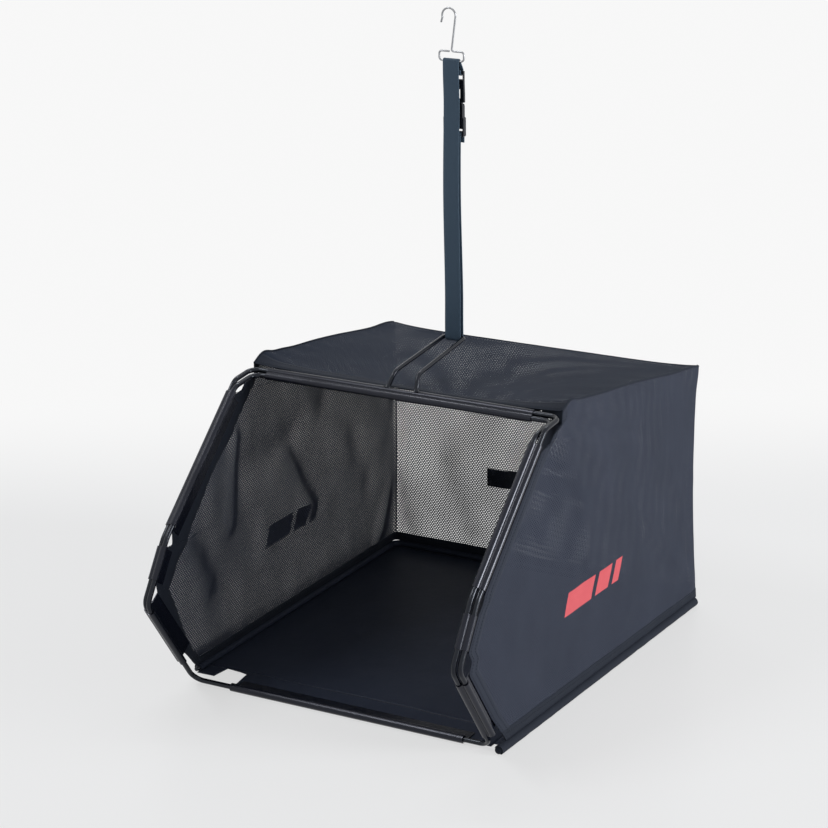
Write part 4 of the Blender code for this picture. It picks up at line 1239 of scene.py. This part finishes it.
def strap():
    depth, top_bar, bottom_bar = 0.2838, 0.6855, 0.6125
    half = STRAP_THICKNESS / 2
    plug_turn = math.hypot(0.003, 0.003) / 2 + SEAM_GAP + half
    socket_turn = math.hypot(0.0058, 0.003) / 2 + SEAM_GAP + half
    ring_turn = HOOK_WIRE / 2 + SEAM_GAP + half
    bail_turn = BAIL_RADIUS + SEAM_GAP + half
    ring = Vector((BAIL_END.x, RING_BAR))
    plug_bar = Vector((depth, top_bar))
    socket_bar = Vector((depth, bottom_bar))
    path = [plug_bar + Vector((-plug_turn, 0.003))]
    path += turn_round(plug_bar, plug_turn, -180, 0)
    path += [plug_bar + Vector((plug_turn, 0.003))]
    path += turn_round(ring, ring_turn, 25, 180)
    path += turn_round(BAIL_END, bail_turn, 180, 360)
    path += [socket_bar + Vector((-socket_turn, -0.009))]
    path += turn_round(socket_bar, socket_turn, 180, 0)
    path += [socket_bar + Vector((socket_turn, -0.009))]
    path = spaced(path, 0.006)
    stations = []
    for index, place in enumerate(path):
        before = path[max(0, index - 1)]
        after = path[min(len(path) - 1, index + 1)]
        run = (after - before).normalized()
        free = smooth(0.385, 0.43, place.y) * smooth(0.69, 0.645, place.y)
        bow = 0.0005 * math.sin(place.y * 31.0) * free
        lean = 0.0007 * math.sin(place.y * 19.0 + 1.0) * free
        centre = Vector((lean, place.x + bow, place.y))
        out = Vector((0.0, -run.y, run.x))
        stations.append((centre, Vector((STRAP_WIDTH / 2, 0.0, 0.0)), out))
    item = band("strap_webbing", stations, half, STRAP_WEB)
    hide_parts("strap")


def handle_depth(x, lift):
    """How far back a layer of the grab handle lies, by how far it lifts off the cloth."""
    rise = (HANDLE_LEVEL - PANEL_BOTTOM) / BACK_HEIGHT
    free_half = HANDLE_LENGTH / 2 - 0.022
    bow = 0.012 * (1 - smooth(0.35 * free_half, free_half, abs(x)))
    surface = rear_line(rise) + fullness(x / side_half_width(0.4, 1.0), rise)
    return surface + SEAM_GAP + lift + bow


def grab_handle():
    stations = []
    for share in shares(96):
        x = HANDLE_LENGTH * (share - 0.5)
        place = Vector((x, handle_depth(x, HANDLE_HALF), HANDLE_LEVEL))
        stations.append((place, UP * (HANDLE_WIDTH / 2), REARWARD))
    item = band("grab_handle_webbing", stations, HANDLE_HALF, HANDLE_WEB)
    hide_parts("rear_grab_handle")
    runs = []
    low, high = 0.107, 0.125
    for side in (-1, 1):
        first, last = side * 0.0605, side * 0.0775
        box = [(first, low), (last, low), (last, high), (first, high), (first, low), (last, high)]
        crossing = [(first, high), (last, low)]
        for line in (box, crossing):
            path = spaced([Vector((x, 0.0, z)) for x, z in line], 0.002)
            for point in path:
                point.y = handle_depth(point.x, 2 * HANDLE_HALF) + 0.0001
            runs.append((path, REARWARD))
    return item, stitch_piece("grab_handle_stitches", runs, pitch=0.0030, long=0.0023)


# Hook
def hook():
    half = 0.0170 - HOOK_WIRE / 2
    rise = 0.013 - HOOK_WIRE
    radius = 0.0086
    centre = Vector((0.0056 - radius, 0.0, rise + 0.0406))
    corners = [
        Vector((-HOOK_WIRE - SEAM_GAP, 0.0, rise)),
        Vector((-half, 0.0, rise)),
        Vector((-half, 0.0, 0.0)),
        Vector((half, 0.0, 0.0)),
        Vector((half, 0.0, rise)),
        Vector((0.0, 0.0, rise)),
        Vector((0.0056, 0.0, rise + 0.0406)),
    ]
    path = rounded_path(corners, [0.0, 0.0035, 0.0035, 0.0035, 0.0035, 0.0024, 0.0])
    for angle in range(6, 196, 7):
        turn = math.radians(angle)
        path.append(centre + Vector((math.cos(turn), 0.0, math.sin(turn))) * radius)
    path.append(path[-1] + Vector((-0.0018, 0.0, -0.006)))
    path = [point + Vector((0.0, BAIL_END.x, RING_BAR)) for point in path]
    item = bar("hook_wire", path, HOOK_WIRE / 2, ZINC, body="hook", sides=16)
    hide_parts("hook")


# Printed stripes
def side_marks(cloth):
    """Three slanting stripes printed on each side, where the real bag carries its print."""
    for side, hand, start in ((-1, "left", 0.180), (1, "right", 0.150)):
        item = cloth[side]
        tree = BVHTree.FromPolygons(
            [vertex.co.copy() for vertex in item.data.vertices],
            [tuple(face.vertices) for face in item.data.polygons],
        )
        points, uvs, faces = [], [], []
        scale = 0.128 / 0.146 if side < 0 else 1.0
        for first, last in ((0.000, 0.066), (0.076, 0.108), (0.118, 0.134)):
            base = len(points)
            for rise in shares(10):
                for share in shares(28):
                    y = start + (mix(first, last, share) + 0.012 * rise) * scale
                    z = 0.104 + 0.026 * rise
                    origin = Vector((side * 0.3, y + MOUTH_SHIFT, z))
                    hit, _, _, _ = tree.ray_cast(origin, Vector((-side, 0.0, 0.0)))
                    x = hit.x + side * 0.00035 if hit else side * 0.212
                    points.append(Vector((x, y, z)))
                    uvs.append((y, z))
            faces += grid_faces(11, 29, start=base, flip=side < 0)
        mark = new_piece(f"{hand}_print", points, faces, uvs, INK, smooth_angle=80)
        yield side, mark


def stitch_lines():
    """Rows of thread along the hems and flanges, on both faces of the cloth."""
    runs = {"left": [], "right": [], "top": [], "back": []}
    for side, hand in ((-1, "left"), (1, "right")):
        for way in (side, -side):
            out = Vector((way, 0.0, 0.0))
            for reach in (0.0035, 0.0120):
                path = []
                for share in shares(200):
                    rise = mix(0.01, 0.985, share)
                    length = (soft_edge_at(side, rise) - Vector((rear_line(rise), 0.1))).length
                    path.append(side_place(side, rise, reach / length) + out * STITCH_OUT)
                runs[hand].append((path, out))
            path = []
            for step in shares(200):
                share = mix(0.01, 0.99, step)
                rise = LOW_STITCH_LEVEL / (edge_height(share) - PANEL_BOTTOM)
                path.append(side_place(side, rise, share) + out * LOW_STITCH_OUT)
            runs[hand].append((path, out))
    across = [mix(-0.98, 0.98, share) for share in shares(200)]
    for way in (1, -1):
        up = UP * way
        for reach in (0.0035, 0.0130):
            path = [top_place(place, reach / TOP_DEPTH) + up * STITCH_OUT for place in across]
            runs["top"].append((path, up))
        out = REARWARD * way
        rise = LOW_STITCH_LEVEL / BACK_HEIGHT
        path = [back_place(place, rise) + out * LOW_STITCH_OUT for place in across]
        runs["back"].append((path, out))
    made = {}
    for hand, lines in runs.items():
        made[hand] = stitch_piece(f"{hand}_stitches", lines)
    path = spaced([Vector((x, 0.0125, 0.0021)) for x in (-0.1415, 0.1606)], 0.01)
    made["floor"] = stitch_piece("floor_stitches", [(path, UP)])
    return made


def rail_finish():
    """Rails and buckle keep their CAD shapes, with softened edges and moulded plastic."""
    for name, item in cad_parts.items():
        if name.startswith("clip_"):
            material, width, kind = CLIP_PLASTIC, 0.00028, "clip_plastic"
        elif name.startswith("buckle_"):
            material, width, kind = BUCKLE_PLASTIC, 0.0006, "buckle_plastic"
        else:
            continue
        for slot in item.material_slots:
            slot.material = material
        soften = item.modifiers.new("soft_edges", "BEVEL")
        soften.width = width
        soften.segments = 2
        soften.limit_method = "ANGLE"
        soften.angle_limit = math.radians(50)
        soften.harden_normals = True


# Studio
def studio():
    n = Nodes(bpy.data.materials.new("studio_floor"))
    where = n.place()
    across, along = n.apart(where)
    depth = n.maths("MULTIPLY_ADD", along, 0.865, n.maths("MULTIPLY", across, -0.50))
    far = n.ramp(depth, 0.0, 1.0, 0.42, 1.0)
    tone = n.noise(where, 3.0, 2.0)
    paper = n.finish(
        Base_Color=n.blend(tone, (0.760, 0.764, 0.766), (0.770, 0.774, 0.776)),
        Roughness=0.35,
        Specular_IOR_Level=0.25,
    )
    even = n.add("ShaderNodeEmission")
    n.link(n.blend(far, (0.92, 0.92, 0.92), (0.935, 0.935, 0.935)), even.inputs["Color"])
    share = n.maths("MULTIPLY", n.seen(), n.maths("MULTIPLY_ADD", far, 0.34, 0.66))
    n.join(share, n.shader.outputs[0], even.outputs[0], "Material Output")
    reach, steps = 14, 24
    places = [mix(-reach, reach, share) for share in shares(steps)]
    mesh = bpy.data.meshes.new("studio_floor")
    mesh.from_pydata([(x, y, 0.0) for y in places for x in places], [], grid_faces(steps + 1, steps + 1))
    mesh.materials.append(paper)
    floor = bpy.data.objects.new("studio_floor", mesh)
    bpy.context.scene.collection.objects.link(floor)
    floor.location.z = -0.0004

    world = bpy.data.worlds.new("studio_world")
    bpy.context.scene.world = world
    n = Nodes(world)
    plain = n.tree.nodes["Background"]
    plain.inputs["Color"].default_value = (0.94, 0.97, 1.0, 1.0)
    plain.inputs["Strength"].default_value = 0.30
    white = n.add("ShaderNodeBackground")
    white.inputs["Color"].default_value = (0.925, 0.925, 0.925, 1.0)
    white.inputs["Strength"].default_value = 1.0
    n.join(n.seen(), plain.outputs[0], white.outputs[0], "World Output")


def area_light(name, place, target, size, power, colour):
    data = bpy.data.lights.new(name, "AREA")
    data.shape = "RECTANGLE"
    data.size, data.size_y = size
    data.energy = power
    data.color = colour
    item = bpy.data.objects.new(name, data)
    bpy.context.scene.collection.objects.link(item)
    item.location = place
    item.rotation_mode = "QUATERNION"
    item.rotation_quaternion = (Vector(target) - Vector(place)).to_track_quat("-Z", "Y")


def lights():
    aim = (0.0, 0.0, 0.25)
    area_light("key_light", (-1.9, -1.3, 3.2), aim, (2.0, 0.25), 38.0, (0.96, 0.97, 1.0))
    area_light("side_light", (3.6, 0.7, 1.0), aim, (1.4, 1.2), 108.0, (0.97, 0.98, 1.0))
    area_light("back_light", (-0.8, 2.0, 3.6), aim, (2.4, 0.22), 30.0, (0.96, 0.97, 1.0))


def camera():
    azimuth, elevation, roll = (math.radians(a) for a in (30.082, 17.819, -0.837))
    level = math.cos(elevation)
    back = Vector((math.sin(azimuth) * level, -math.cos(azimuth) * level, math.sin(elevation)))
    right = Vector((math.cos(azimuth), math.sin(azimuth), 0.0))
    up = back.cross(right)
    tilted = right * math.cos(roll) + up * math.sin(roll)
    upright = up * math.cos(roll) - right * math.sin(roll)
    data = bpy.data.cameras.new("camera")
    data.lens = 118.69
    data.sensor_width = 36.0
    data.clip_start = 0.05
    data.clip_end = 100.0
    item = bpy.data.objects.new("camera", data)
    bpy.context.scene.collection.objects.link(item)
    turn = Matrix((tilted, upright, back)).transposed().to_4x4()
    item.matrix_world = Matrix.Translation((1.4983, -2.622306, 1.2662)) @ turn
    bpy.context.scene.camera = item


camera()
studio()
lights()
steel_parts()
weld_beads()
cloth = side_cloth()
hems = side_hems()
top_item, top_hems = top_cloth()
back_item, back_hems = back_cloth()
bindings = seams()
floor_item, floor_pieces = floor_cloth()
strap()
handle_item, handle_stitches = grab_handle()
hook()
marks = dict(side_marks(cloth))
stitches = stitch_lines()
rail_finish()

bpy.context.scene.view_settings.view_transform = "Standard"
